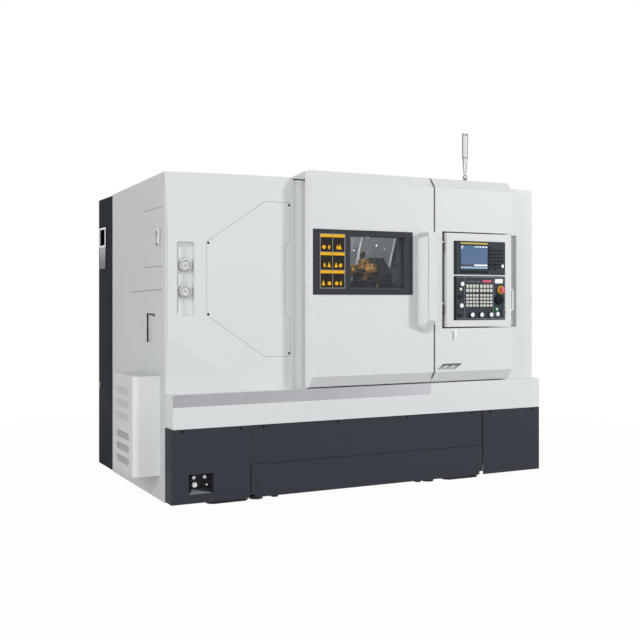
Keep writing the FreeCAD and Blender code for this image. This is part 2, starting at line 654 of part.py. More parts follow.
keep("window_frame", fused([frame_plate.fuse(frame_sleeve).cut(glass_hole), seat]))
keep("window_glass", block(GLASS_LEFT, GLASS_RIGHT, glass_y, glass_y + GLASS_THICK, GLASS_BOTTOM, GLASS_TOP))

plate = block(NOTICE_LEFT, NOTICE_RIGHT, DOOR_FRONT - WINDOW_PLATE - 1, DOOR_FRONT - WINDOW_PLATE,
              NOTICE_BOTTOM, NOTICE_TOP)
keep("notice_plate", plate)


def door_handle():
    """Flat bar bent back to the door: square at the top, at 45 degrees below."""
    t = HANDLE_THICK
    out = DOOR_FRONT - HANDLE_OUT
    low = HANDLE_BOTTOM
    outer = [(DOOR_FRONT, low), (out, low + HANDLE_OUT), (out, HANDLE_TOP), (DOOR_FRONT, HANDLE_TOP)]
    inner = [(DOOR_FRONT, HANDLE_TOP - t), (out + t, HANDLE_TOP - t)]
    inner += [(out + t, low + HANDLE_OUT + t * 0.4), (DOOR_FRONT, low + t * 1.4)]
    bar = prism_x(outer + inner, HANDLE_LEFT, HANDLE_LEFT + HANDLE_WIDTH)
    sharp = edges_along(bar, (1, 0, 0), lambda p: p.y < out + 1)
    return bar.makeFillet(t * 0.8, sharp)


keep("door_handle", door_handle())


# ---------------------------------------------------------------------------
# Right front panel, end cover, hood, roof and rear sheet
# ---------------------------------------------------------------------------

recess = block(RECESS_LEFT, PANEL_RIGHT + 1, DOOR_FRONT - 5, DOOR_BACK + 5, RECESS_BOTTOM, RECESS_TOP)
panel = front_shell(PANEL_LEFT, PANEL_RIGHT).cut(recess)
recess_sheets = [
    block(RECESS_LEFT - SHEET, RECESS_LEFT, DOOR_FRONT, RECESS_BACK, RECESS_BOTTOM - SHEET, RECESS_TOP + SHEET),
    block(RECESS_LEFT - SHEET, PANEL_RIGHT, RECESS_BACK, RECESS_BACK + SHEET, RECESS_BOTTOM - SHEET,
          RECESS_TOP + SHEET),
    block(RECESS_LEFT, PANEL_RIGHT, DOOR_FRONT, RECESS_BACK, RECESS_BOTTOM - SHEET, RECESS_BOTTOM),
    block(RECESS_LEFT, PANEL_RIGHT, DOOR_FRONT, RECESS_BACK, RECESS_TOP, RECESS_TOP + SHEET),
]
hinge_x = RECESS_LEFT + 13
hinge_y = DOOR_FRONT + 8
for lug_z in HINGE_Z:
    recess_sheets.append(block(RECESS_LEFT, hinge_x + 7, hinge_y - 7, hinge_y + 7, lug_z, lug_z + 10))
    recess_sheets.append(rod((hinge_x, hinge_y, lug_z - 40), (0, 0, 1), HINGE_PIN, 45, 8))
slot_points = [(SLOT_LEFT + 6, SLOT_BOTTOM), (SLOT_LEFT + SLOT_LEAN, SLOT_TOP), (SLOT_RIGHT, SLOT_TOP)]
slot_points += [(SLOT_RIGHT - SLOT_LEAN, SLOT_BOTTOM)]
slot_cut = prism_y(slot_points, DOOR_FRONT - 1, DOOR_FRONT + SHEET - 1)
lever_hole = bore((LEVER_X, DOOR_FRONT - 5, LEVER_Z), (0, 1, 0), LEVER_STEM + SHAFT_CLEARANCE, 20, 12)
keep("right_panel", fused([panel] + recess_sheets).cut(slot_cut).cut(lever_hole))


def end_cover():
    """Front and right side in one folded sheet, notched where the recess runs out."""
    front = block(PANEL_RIGHT, BODY_LENGTH, END_FRONT, END_FRONT + SHEET, LEDGE_TOP, END_TOP)
    side_points = [(END_FRONT, LEDGE_TOP), (END_FRONT, END_TOP), (HOOD_BEND_Y, END_TOP - 6)]
    side_points += [(BODY_DEPTH, HOOD_REAR_Z - SHEET), (BODY_DEPTH, SIDE_BOTTOM), (SKIRT_RETURN, SIDE_BOTTOM)]
    side_points += [(SKIRT_RETURN, SKIRT_TOP), (110, SKIRT_TOP), (110, LEDGE_TOP)]
    side = prism_x(side_points, BODY_LENGTH - SHEET, BODY_LENGTH)
    notch = block(PANEL_RIGHT, RECESS_RIGHT, END_FRONT - 1, RECESS_BACK, RECESS_BOTTOM, RECESS_TOP)
    pan = block(PANEL_RIGHT, RECESS_RIGHT + SHEET, END_FRONT, RECESS_BACK + SHEET, RECESS_BOTTOM - SHEET,
                RECESS_TOP + SHEET)
    top_points = [(END_FRONT, END_TOP - SHEET), (END_FRONT, END_TOP), (HOOD_BEND_Y, END_TOP - 6)]
    top_points += [(BODY_DEPTH, HOOD_REAR_Z - SHEET), (BODY_DEPTH, HOOD_REAR_Z - 2 * SHEET)]
    top_points += [(HOOD_BEND_Y, END_TOP - 6 - SHEET)]
    top = prism_x(top_points, PANEL_RIGHT + 10, BODY_LENGTH)
    pan = pan.fuse(front).cut(notch)
    return fused([pan, side, top])


keep("end_cover", end_cover())


def hood():
    """Raised roof over the work room: sloping sheet with webs at both ends."""
    top = [(HOOD_FRONT, DOOR_TOP), (HOOD_BEND_Y, HOOD_BEND_Z), (BODY_DEPTH, HOOD_REAR_Z)]
    under = [(y, z - SHEET) for y, z in reversed(top)]
    left = DOOR_LEFT
    right = PANEL_RIGHT + 7
    sheet = prism_x(top + under, left, right)
    rear_left = roof_z(BODY_DEPTH, GUARD_TOP, ROOF_DROP)
    web = [(HOOD_FRONT, DOOR_TOP), (HOOD_BEND_Y, HOOD_BEND_Z), (BODY_DEPTH, HOOD_REAR_Z)]
    web += [(BODY_DEPTH, rear_left), (SIDE_FRONT, GUARD_TOP), (HOOD_FRONT, GUARD_TOP)]
    left_web = prism_x(web, left, left + SHEET)
    right_web = prism_x(web, right - SHEET, right)
    right_web = right_web.common(block(0, 9999, HOOD_FRONT, BODY_DEPTH, END_TOP, 9999))
    lip = block(left, right, HOOD_FRONT, HOOD_FRONT + SHEET, DOOR_TOP - 45, DOOR_TOP)
    return fused([sheet, left_web, right_web, lip])


keep("hood", hood())

rear_top = roof_z(BODY_DEPTH, GUARD_TOP, ROOF_DROP)
roof_points = [(SIDE_FRONT, GUARD_TOP), (BODY_DEPTH, rear_top), (BODY_DEPTH, rear_top - SHEET)]
roof_points += [(SIDE_FRONT, GUARD_TOP - SHEET)]
keep("roof_panel", prism_x(roof_points, 0, DOOR_LEFT))

rear_sheet = block(CABINET_LENGTH + 5, BODY_LENGTH - SHEET, BODY_DEPTH - SHEET, BODY_DEPTH, SIDE_BOTTOM,
                   rear_top - 2 * SHEET)
rear_slots = []
for row in range(6):
    z = 420 + row * 24
    rear_slots.append(block(1900, 2200, BODY_DEPTH - 10, BODY_DEPTH + 10, z, z + 9))
keep("rear_panel", rear_sheet.cut(Part.makeCompound(rear_slots)))


# ---------------------------------------------------------------------------
# Work room guards
# ---------------------------------------------------------------------------

wall_low_y, wall_low_z = slant(TAIL_WAYS[0] - 20, -BED_N)
wall_high_y, wall_high_z = slant(SADDLE_WAYS[1] + 100, -BED_N)
wall_points = [(85, LEDGE_TOP), (85, GUARD_TOP - 10), (1130, GUARD_TOP - 30), (1130, wall_high_z)]
wall_points += [(wall_high_y, wall_high_z), (wall_low_y, wall_low_z), (wall_low_y - 60, FLOOR_SHELF)]
wall_points += [(160, FLOOR_SHELF), (160, LEDGE_TOP)]
wall = prism_x(wall_points, WALL_X, WALL_X + SHEET)
wall = wall.cut(rod((WALL_X - 5, SPINDLE_Y, SPINDLE_Z), (1, 0, 0), 120, 20))
post = block(GUARD_RIGHT, WALL_X + SHEET, 85, 85 + SHEET, LEDGE_TOP, GUARD_TOP - 10)
post_tab = block(GUARD_RIGHT - 20, GUARD_RIGHT, SIDE_FRONT, SIDE_FRONT + SHEET, LEDGE_TOP, GUARD_TOP - 10)
post_turn = block(GUARD_RIGHT, GUARD_RIGHT + SHEET, 85, SIDE_FRONT + SHEET, LEDGE_TOP, GUARD_TOP - 10)
keep("headstock_wall", fused([wall, post, post_turn, post_tab]))

GUARD_Y = BODY_DEPTH - 114
GUARD_BEND = GUARD_TOP - 426
slope = [(GUARD_Y, SPINDLE_Z + 100), (GUARD_Y, GUARD_BEND), (SPINDLE_Y + 330, GUARD_TOP - 26)]
slope += [(SPINDLE_Y + 330, GUARD_TOP - 21), (GUARD_Y + SHEET, GUARD_BEND + 2), (GUARD_Y + SHEET, SPINDLE_Z + 100)]
keep("slant_guard", prism_x(slope, WALL_X + SHEET, PANEL_RIGHT - SHEET))


# ---------------------------------------------------------------------------
# Electric cabinet behind the body
# ---------------------------------------------------------------------------

CABINET_BACK = BODY_DEPTH + CABINET_DEPTH
cabinet = block(0, CABINET_LENGTH, BODY_DEPTH, CABINET_BACK - 20, CABINET_BOTTOM, CABINET_TOP)
inside = block(SHEET, CABINET_LENGTH - SHEET, BODY_DEPTH + SHEET, CABINET_BACK, CABINET_BOTTOM + SHEET,
               CABINET_TOP - SHEET)
cabinet = cabinet.cut(inside)
fixed = block(0, LEAF_LEFT, CABINET_BACK - 20, CABINET_BACK, CABINET_BOTTOM, CABINET_TOP)
fixed = fixed.cut(block(SHEET, LEAF_LEFT - SHEET, CABINET_BACK - 21, CABINET_BACK - SHEET, CABINET_BOTTOM + SHEET,
                        CABINET_TOP - SHEET))
lip_back = CABINET_BACK - 20
rim = block(LEAF_LEFT - SHEET, CABINET_LENGTH, lip_back - SHEET, lip_back, CABINET_BOTTOM, CABINET_TOP)
rim = rim.cut(block(LEAF_LEFT + 32, CABINET_LENGTH - 35, lip_back - 10, lip_back + 1, CABINET_BOTTOM + 35,
                    CABINET_TOP - 35))
frame_bits = [fixed, rim]
shelf = block(100, CABINET_LENGTH - 100, BODY_DEPTH + SHEET, BODY_DEPTH + 2 * SHEET, 200, 1780)
side_plate = block(-4, 0, BODY_DEPTH + 172, CABINET_BACK - 6 - 20, 1389, 1683)
side_plate = side_plate.cut(block(-5, -2, BODY_DEPTH + 185, CABINET_BACK - 39, 1552, 1671))
keep("electric_cabinet", fused([cabinet, shelf, side_plate] + frame_bits))

door_outer = block(LEAF_LEFT + 2, CABINET_LENGTH - 2, CABINET_BACK - 19.5, CABINET_BACK,
                   CABINET_BOTTOM + 2, CABINET_TOP - 2)
door_inner = block(LEAF_LEFT + 2 + SHEET, CABINET_LENGTH - 2 - SHEET, CABINET_BACK - 25, CABINET_BACK - SHEET,
                   CABINET_BOTTOM + 2 + SHEET, CABINET_TOP - 2 - SHEET)
turn_x = CABINET_LENGTH - 60
turn_z = 1000.0
turn_hole = bore((turn_x, CABINET_BACK - 30, turn_z), (0, 1, 0), 10, 60, 12)
fan_slots = []
for row in range(7):
    z = 380 + row * 22
    fan_slots.append(block(900, 1160, CABINET_BACK - 10, CABINET_BACK + 5, z, z + 9))
cabinet_leaf = door_outer.cut(door_inner).cut(turn_hole).cut(Part.makeCompound(fan_slots))
keep("cabinet_door", cabinet_leaf)

turn_stem = rod((turn_x, CABINET_BACK - 12, turn_z), (0, 1, 0), 9.6, 13 + GAP, 12)
turn_grip = block(turn_x - 14, turn_x + 14, CABINET_BACK + GAP, CABINET_BACK + TURN_OUT, turn_z - 60, turn_z + 20)
turn_grip = turn_grip.makeChamfer(6, edges_along(turn_grip, (0, 1, 0), lambda p: True))
keep("cabinet_handle", turn_stem.fuse(turn_grip).removeSplitter())


# ---------------------------------------------------------------------------
# Swinging console
# ---------------------------------------------------------------------------

FACE_Y = DOOR_FRONT

box = block(BOX_LEFT, BOX_RIGHT, FACE_Y, FACE_Y + BOX_DEPTH, BOX_BOTTOM, BOX_TOP)
box = box.makeFillet(14, edges_along(box, (0, 0, 1), lambda p: p.y < FACE_Y + 1))
room = block(BOX_LEFT + SHEET, BOX_RIGHT - SHEET, FACE_Y + SHEET, FACE_Y + BOX_DEPTH + 1,
             BOX_BOTTOM + SHEET, BOX_TOP - SHEET)
room = room.makeFillet(11, edges_along(room, (0, 0, 1), lambda p: p.y < FACE_Y + SHEET + 1))
box = box.cut(room)
for low, high in ((DISPLAY_BOTTOM, DISPLAY_TOP), (KEYS_BOTTOM, KEYS_TOP)):
    box = box.cut(block(UNIT_LEFT + 12, UNIT_RIGHT - 12, FACE_Y - 1, FACE_Y + 20, low + 12, high - 12))
back_lip = block(BOX_LEFT + SHEET, BOX_RIGHT - SHEET, FACE_Y + BOX_DEPTH - SHEET, FACE_Y + BOX_DEPTH,
                 BOX_BOTTOM + SHEET, BOX_TOP - SHEET)
back_hole = block(BOX_LEFT + 23, BOX_RIGHT - 23, FACE_Y, FACE_Y + BOX_DEPTH + 1, BOX_BOTTOM + 23, BOX_TOP - 23)
knuckles = []
for lug_z in HINGE_Z:
    barrel = rod((hinge_x, hinge_y, lug_z - 60), (0, 0, 1), 7.4, 59, 12)
    leaf = block(hinge_x, BOX_LEFT + 1, hinge_y + 2, hinge_y + 7, lug_z - 60, lug_z - 1)
    pin_hole = bore((hinge_x, hinge_y, lug_z - 50), (0, 0, 1), HINGE_PIN + SHAFT_CLEARANCE, 60, 8)
    knuckles.append(barrel.fuse(leaf).cut(pin_hole))
grip_z = (1108, 1248)
grip = block(BOX_RIGHT, BOX_RIGHT + 28, FACE_Y + 16, FACE_Y + 36, grip_z[0], grip_z[1])
grip = grip.makeFillet(12, edges_along(grip, (0, 1, 0), lambda p: p.x > BOX_RIGHT + 1))
grip = grip.cut(block(BOX_RIGHT - 1, BOX_RIGHT + 17, FACE_Y, FACE_Y + 50, grip_z[0] + 12, grip_z[1] - 12))
keep("console_box", fused([box, back_lip.cut(back_hole), grip] + knuckles))


def key_grid(x0, x1, z0, z1, columns, rows, gap, lift):
    """Low rectangular key tops in an even grid on the console's face."""
    wide = (x1 - x0 - gap * (columns - 1)) / columns
    high = (z1 - z0 - gap * (rows - 1)) / rows
    keys = []
    for column in range(columns):
        for row in range(rows):
            x = x0 + column * (wide + gap)
            z = z0 + row * (high + gap)
            keys.append(block(x, x + wide, FACE_Y - UNIT_FACE - lift, FACE_Y - UNIT_FACE, z, z + high))
    return keys


def unit_body(low, high):
    face = block(UNIT_LEFT, UNIT_RIGHT, FACE_Y - UNIT_FACE, FACE_Y, low, high)
    face = face.makeFillet(5, edges_along(face, (0, 1, 0), lambda p: True))
    back = block(UNIT_LEFT + 13, UNIT_RIGHT - 13, FACE_Y, FACE_Y + UNIT_BODY, low + 13, high - 13)
    return face.fuse(back)




def across(share):
    """Place along the display unit and key panel, as a share of their width."""
    return UNIT_LEFT + share * UNIT_WIDTH


SCREEN = (across(0.1225), across(0.6525), DISPLAY_BOTTOM + 35, DISPLAY_TOP - 26)
display = unit_body(DISPLAY_BOTTOM, DISPLAY_TOP)
display = display.cut(block(SCREEN[0], SCREEN[1], FACE_Y - UNIT_FACE - 1, FACE_Y - UNIT_FACE + 2,
                            SCREEN[2], SCREEN[3]))
display_keys = key_grid(SCREEN[1] + 9, UNIT_RIGHT - 14, SCREEN[2] + 5, SCREEN[3] - 16, 5, 6, 4, 2)
display_keys += key_grid(SCREEN[0], SCREEN[1], DISPLAY_BOTTOM + 11, DISPLAY_BOTTOM + 23, 8, 1, 6, 2)
keep("display_unit", fused([display] + display_keys))

ESTOP_AT = (across(0.9125), KEYS_BOTTOM + 193)
WHEEL_AT = (across(0.8675), KEYS_BOTTOM + 130)
KNOBS_AT = [(across(0.1425), KEYS_BOTTOM + 230), (across(0.1275), KEYS_BOTTOM + 92)]
KNOBS_AT.append((across(0.9525), KEYS_BOTTOM + 47))
BUTTONS_AT = {"start_button": (across(0.82), KEYS_BOTTOM + 68), "stop_button": (across(0.8475), KEYS_BOTTOM + 36)}
stem_places = [ESTOP_AT, WHEEL_AT] + KNOBS_AT + list(BUTTONS_AT.values())

STEM_SIDES = 8
keys = unit_body(KEYS_BOTTOM, KEYS_TOP)
extras = []
for low, high, rows in ((KEYS_BOTTOM + 178, KEYS_BOTTOM + 228, 2), (KEYS_BOTTOM + 84, KEYS_BOTTOM + 166, 4)):
    for left, right in ((0.22, 0.467), (0.493, 0.74)):
        extras += key_grid(across(left), across(right), low, high, 4, rows, 5, 2)
extras.append(block(across(0.79), across(0.9525), FACE_Y - UNIT_FACE - 1, FACE_Y - UNIT_FACE,
                    KEYS_TOP - 45, KEYS_TOP - 15))
for share, rise in ((0.33, 33), (0.515, 33), (0.7025, 33), (0.1125, 31), (0.1225, 150)):
    round_key = [(0, 0), (0, 12), (6, 12), (7, 8.5), (14, 8.5), (14, 0)]
    extras.append(turned(round_key, (across(share), FACE_Y - UNIT_FACE, KEYS_BOTTOM + rise), (0, -1, 0), 8))
lit_at = (across(0.1175), FACE_Y - UNIT_FACE, KEYS_BOTTOM + 197)
extras.append(rod(lit_at, (0, -1, 0), 7, 4, 12))
estop_collar = [(0, 0), (0, 22), (6, 22), (9, 19), (9, 0)]
extras.append(turned(estop_collar, (ESTOP_AT[0], FACE_Y - UNIT_FACE, ESTOP_AT[1]), (0, -1, 0), 16))
keys = fused([keys] + extras)
for x, z in stem_places:
    keys = keys.cut(bore((x, FACE_Y - 30, z), (0, 1, 0), STEM_RADIUS + SHAFT_CLEARANCE, 45, STEM_SIDES))
keep("key_panel", keys)


def control(profile, place, rise, sides):
    """Turned head on a stem that passes into the panel; rise is the head's gap to the face."""
    x, z = place
    face = FACE_Y - UNIT_FACE
    head = turned(profile, (x, face - rise, z), (0, -1, 0), sides)
    stem = rod((x, face - rise, z), (0, 1, 0), STEM_RADIUS, rise + 10, STEM_SIDES)
    return head.fuse(stem)


mushroom = [(0, 0), (0, 15), (3, 19), (9, 19), (13, 14), (15, 6), (15, 0)]
keep("emergency_stop", control(mushroom, ESTOP_AT, 9 + HEAD_LIFT + 2, 20).removeSplitter())

wheel = [(0, 0), (0, 30), (7, 30), (8, 27), (6, 20), (6, 14), (12, 12), (12, 0)]
wheel_head = control(wheel, WHEEL_AT, GAP, 20)
crank = rod((WHEEL_AT[0] + 22, FACE_Y - UNIT_FACE - GAP - 6, WHEEL_AT[1]), (0, -1, 0), 5, 18, 8)
keep("handwheel", wheel_head.fuse(crank).removeSplitter())

for number, place in enumerate(KNOBS_AT, 1):
    skirted = [(0, 0), (0, 13), (4, 12), (5, 9), (16, 8), (16, 0)]
    pointer = block(place[0] - 1.5, place[0] + 1.5, FACE_Y - UNIT_FACE - GAP - 18, FACE_Y - UNIT_FACE - GAP - 10,
                    place[1] - 7, place[1] + 11)
    keep(f"selector_knob_{number}", control(skirted, place, GAP, 12).fuse(pointer).removeSplitter())

for name, place in BUTTONS_AT.items():
    keep(name, control([(0, 0), (0, 11), (4, 11), (5, 10), (5, 0)], place, HEAD_LIFT + 1, 16).removeSplitter())

lever_stem = rod((LEVER_X, DOOR_FRONT + SHEET + 3, LEVER_Z), (0, -1, 0), LEVER_STEM, SHEET + 3 + GAP, 12)
lever_hub = rod((LEVER_X, DOOR_FRONT - GAP, LEVER_Z), (0, -1, 0), 9, 12, 12)
lever_arm = block(LEVER_X - 6, LEVER_X + 6, DOOR_FRONT - GAP - 12, DOOR_FRONT - GAP - 5,
                  LEVER_Z - LEVER_LENGTH, LEVER_Z)
lever_arm = lever_arm.makeChamfer(4, edges_along(lever_arm, (0, 1, 0), lambda p: p.z < LEVER_Z - 1))
keep("console_lever", fused([lever_stem, lever_hub, lever_arm]))


# ---------------------------------------------------------------------------
# Signal lamp on the hood
# ---------------------------------------------------------------------------

LAMP_X = 0.7868 * BODY_LENGTH
LAMP_Y = 80.0
LAMP_STEM = 93.0
LAMP_LENS = 160.0
lamp_z = DOOR_TOP - (LAMP_Y - HOOD_FRONT) * (DOOR_TOP - HOOD_BEND_Z) / (HOOD_BEND_Y - HOOD_FRONT)
stem_top = lamp_z + 69 + LAMP_STEM
lamp_foot = [(-2, 0), (-2, 20), (8, 20), (12, 14), (24, 9), (40, 9), (46, 14), (54, 16), (62, 14), (69, 9)]
lamp_foot += [(69 + LAMP_STEM, 17), (69 + LAMP_STEM, 0)]
lamp_stem = turned(lamp_foot, (LAMP_X, LAMP_Y, lamp_z), (0, 0, 1), 12)
hood_top = prism_x([(HOOD_FRONT, DOOR_TOP), (HOOD_BEND_Y, HOOD_BEND_Z), (HOOD_BEND_Y, 1800), (HOOD_FRONT, 1800)],
                   LAMP_X - 50, LAMP_X + 50)
keep("lamp_stem", lamp_stem.cut(hood_top))
lens = [(0, 0), (0, 20), (LAMP_LENS - 10, 20), (LAMP_LENS - 3, 17), (LAMP_LENS, 10), (LAMP_LENS, 0)]
keep("lamp_lens", turned(lens, (LAMP_X, LAMP_Y, stem_top), (0, 0, 1), 16))


# ---------------------------------------------------------------------------
# Spindle line: headstock, spindle, chuck, jaws, motor and belt
# ---------------------------------------------------------------------------

def slant_prism(points, x0, x1):
    return prism_x([slant(s, n) for s, n in points], x0, x1)


head_points = [(-190, -BED_N), (-190, -70), (-120, 120), (-60, 160), (60, 160), (120, 120), (190, -70)]
head_points += [(330, -BED_N)]
headstock = slant_prism(head_points, HEADSTOCK_LEFT, HEADSTOCK_RIGHT)
rib_room = [(-230, -320), (-230, -110), (-165, -110), (-165, -320)]
for start in (HEADSTOCK_LEFT + 60, (HEADSTOCK_LEFT + HEADSTOCK_RIGHT) / 2 + 30):
    headstock = headstock.cut(slant_prism(rib_room, start, start + 180))
spindle_at = (SPINDLE_Y, SPINDLE_Z)
headstock = headstock.cut(rod((HEADSTOCK_LEFT - 1, *spindle_at), (1, 0, 0), SPINDLE_RADIUS, 800))
keep("headstock", headstock)


def flanged(x0, width, radius):
    """Belt pulley rim between two flanges, as (x, radius) points."""
    left = [(x0, radius + 6), (x0 + 5, radius + 6), (x0 + 5, radius)]
    right = [(x0 + width - 5, radius), (x0 + width - 5, radius + 6), (x0 + width, radius + 6)]
    return left + right


journal = SPINDLE_RADIUS - SHAFT_CLEARANCE
pulley_right = PULLEY_LEFT + PULLEY_WIDTH
spindle = [(PULLEY_LEFT - 35, 0), (PULLEY_LEFT - 35, 45), (PULLEY_LEFT, 45)]
spindle += flanged(PULLEY_LEFT, PULLEY_WIDTH, SPINDLE_PULLEY)
spindle += [(pulley_right, 60), (HEADSTOCK_LEFT, 60), (HEADSTOCK_LEFT, journal)]
spindle += [(HEADSTOCK_RIGHT + 3, journal), (HEADSTOCK_RIGHT + 3, 105), (CHUCK_LEFT, 105)]
spindle += [(CHUCK_LEFT, 0)]
spindle_bore = rod((PULLEY_LEFT - 36, *spindle_at), (1, 0, 0), SPINDLE_BORE, CHUCK_LEFT - PULLEY_LEFT + 37)
keep("spindle", turned(spindle, (0, *spindle_at), (1, 0, 0), 24).cut(spindle_bore))

CHUCK_FACE = CHUCK_LEFT + CHUCK_WIDTH
JAW_SEAT = 30.0
JAW_OUT = 45.0
JAW_INNER = 32.0
chuck = [(CHUCK_LEFT, 0), (CHUCK_LEFT, CHUCK_RADIUS - 12), (CHUCK_LEFT + 12, CHUCK_RADIUS)]
chuck += [(CHUCK_FACE - 6, CHUCK_RADIUS), (CHUCK_FACE, CHUCK_RADIUS - 6), (CHUCK_FACE, 0)]
chuck_body = turned(chuck, (0, *spindle_at), (1, 0, 0), 36)
chuck_body = chuck_body.cut(rod((CHUCK_LEFT - 1, *spindle_at), (1, 0, 0), SPINDLE_BORE, CHUCK_WIDTH + 2))


def around_spindle(shape, angle):
    shape = shape.copy()
    shape.rotate(V(0, SPINDLE_Y, SPINDLE_Z), V(1, 0, 0), angle)
    return shape


def jaw():
    """Stepped hard jaw on a slotted base."""
    half = JAW_WIDTH / 2
    face = CHUCK_FACE
    steps = [(face - JAW_SEAT, JAW_INNER), (face + JAW_OUT, JAW_INNER), (face + JAW_OUT, JAW_INNER + 26)]
    steps += [(face + JAW_OUT * 0.66, JAW_INNER + 26), (face + JAW_OUT * 0.66, JAW_INNER + 48)]
    steps += [(face + JAW_OUT * 0.33, JAW_INNER + 48), (face + JAW_OUT * 0.33, JAW_INNER + 68)]
    steps += [(face + RUN, JAW_INNER + 68), (face + RUN, CHUCK_RADIUS - 14), (face - JAW_SEAT, CHUCK_RADIUS - 14)]
    corners = [V(x, SPINDLE_Y - half, SPINDLE_Z + r) for x, r in steps]
    side = Part.Face(Part.makePolygon(corners + corners[:1]))
    return side.extrude(V(0, JAW_WIDTH, 0))


slot_half = JAW_WIDTH / 2 + RUN
for index in range(JAW_COUNT):
    slot = block(CHUCK_FACE - JAW_SEAT - RUN, CHUCK_FACE + 1, SPINDLE_Y - slot_half, SPINDLE_Y + slot_half,
                 SPINDLE_Z + SPINDLE_BORE + 2, SPINDLE_Z + CHUCK_RADIUS + 5)
    chuck_body = chuck_body.cut(around_spindle(slot, index * 360 / JAW_COUNT))
    keep(f"chuck_jaw_{index + 1}", around_spindle(jaw(), index * 360 / JAW_COUNT))
keep("chuck_body", chuck_body)

motor_at = (MOTOR_Y, MOTOR_Z)
motor_right = HEADSTOCK_LEFT + MOTOR_LENGTH
half = MOTOR_HALF
motor = block(HEADSTOCK_LEFT, motor_right, MOTOR_Y - half, MOTOR_Y + half, MOTOR_Z - half, MOTOR_Z + half)
motor = motor.makeChamfer(35, edges_along(motor, (1, 0, 0), lambda p: True))
motor_foot = block(HEADSTOCK_LEFT + 20, motor_right - 20, MOTOR_Y - 80, MOTOR_Y + 80, FLOOR_SHELF, MOTOR_Z - half)
SHAFT_RADIUS = 20.0
motor_bore = bore((HEADSTOCK_LEFT - 1, *motor_at), (1, 0, 0), SHAFT_RADIUS + SHAFT_CLEARANCE, 60, 12)
keep("spindle_motor", fused([motor, motor_foot]).cut(motor_bore))

motor_pulley = [(PULLEY_LEFT, 0)] + flanged(PULLEY_LEFT, PULLEY_WIDTH, MOTOR_PULLEY)
motor_pulley += [(pulley_right, SHAFT_RADIUS), (HEADSTOCK_LEFT + 50, SHAFT_RADIUS), (HEADSTOCK_LEFT + 50, 0)]
keep("motor_pulley", turned(motor_pulley, (0, *motor_at), (1, 0, 0), 20))


def belt_loop(grow):
    """Outline (y, z) of a belt round the two pulleys, clear of them by grow all round."""
    apart_y = MOTOR_Y - SPINDLE_Y
    apart_z = MOTOR_Z - SPINDLE_Z
    heading = math.atan2(apart_z, apart_y)
    lean = math.acos((SPINDLE_PULLEY - MOTOR_PULLEY) / math.hypot(apart_y, apart_z))
    steps = 12
    loop = []
    for centre, radius, start, sweep in ((spindle_at, SPINDLE_PULLEY, lean, 2 * math.pi - 2 * lean),
                                         (motor_at, MOTOR_PULLEY, -lean, 2 * lean)):
        reach = (radius + grow) / math.cos(sweep / steps / 2)
        for k in range(steps + 1):
            angle = heading + start + sweep * k / steps
            loop.append((centre[0] + reach * math.cos(angle), centre[1] + reach * math.sin(angle)))
    return loop


belt_x = PULLEY_LEFT + 7
belt = prism_x(belt_loop(RUN + BELT_THICK), belt_x, belt_x + PULLEY_WIDTH - 14)
keep("drive_belt", belt.cut(prism_x(belt_loop(RUN), belt_x, belt_x + PULLEY_WIDTH - 14)))


# ---------------------------------------------------------------------------
# Carriage: saddle, turret slide, turret disc, lead screw and its motor
# ---------------------------------------------------------------------------

way_top = WAY_HEIGHT - BED_N
saddle_top = way_top + SADDLE_THICK
slide_top = saddle_top + SLIDE_THICK
saddle = slant_block(SADDLE_LEFT, SADDLE_RIGHT, SADDLE_WAYS[0] - 10, SADDLE_WAYS[1] + SADDLE_WAY_WIDTH + 10,
                     way_top + RUN, saddle_top)
for side_x in (SADDLE_LEFT + 30, SADDLE_RIGHT - 70):
    saddle = saddle.cut(slant_block(side_x, side_x + 40, -100, 900, saddle_top - 12, saddle_top + 1))
saddle = saddle.cut(slant_bore(SADDLE_LEFT - 1, SADDLE_RIGHT + 1, SCREW_S, SCREW_N, SCREW_RADIUS + 3, 8))
keep("saddle", saddle)

head_left = TURRET_LEFT + TURRET_WIDTH
head_right = SADDLE_RIGHT - 20
slide = slant_block(SADDLE_LEFT + 20, head_right, TURRET_S - 220, TURRET_S + 230, saddle_top + RUN, slide_top)
turret_head = slant_block(head_left + GAP, head_right, TURRET_S - 95, TURRET_S + 95, slide_top - 1, 110)
upper = edges_along(turret_head, (1, 0, 0), lambda p: p.z > slant(TURRET_S, 0)[1])
turret_head = turret_head.makeChamfer(24, upper)
shaft_radius = 60.0
turret_bore = slant_bore(head_left - 1, head_left + 60, TURRET_S, 0, shaft_radius + SHAFT_CLEARANCE, 24)
keep("turret_slide", slide.fuse(turret_head).cut(turret_bore).removeSplitter())

turret_y, turret_z = slant(TURRET_S, 0)


def around_turret(shape, angle):
    shape = shape.copy()
    shape.rotate(V(0, turret_y, turret_z), V(1, 0, 0), angle)
    return shape


def turning_holder():
    """Clamp block with a square-shank tool reaching outward past the rim."""
    top = TURRET_RADIUS
    body = block(TURRET_LEFT - 52, TURRET_LEFT, turret_y - 35, turret_y + 35, turret_z + top - 95, turret_z + top - 8)
    body = body.makeChamfer(9, edges_along(body, (0, 0, 1), lambda p: p.x < TURRET_LEFT - 1))
    shank = block(TURRET_LEFT - 42, TURRET_LEFT - 17, turret_y - 12, turret_y + 13, turret_z + top - 70,
                  turret_z + top + 42)
    tip = prism_x([(turret_y - 12, turret_z + top + 28), (turret_y - 12, turret_z + top + 46),
                   (turret_y + 2, turret_z + top + 28)], TURRET_LEFT - 50, TURRET_LEFT - 36)
    return fused([body, shank, tip])


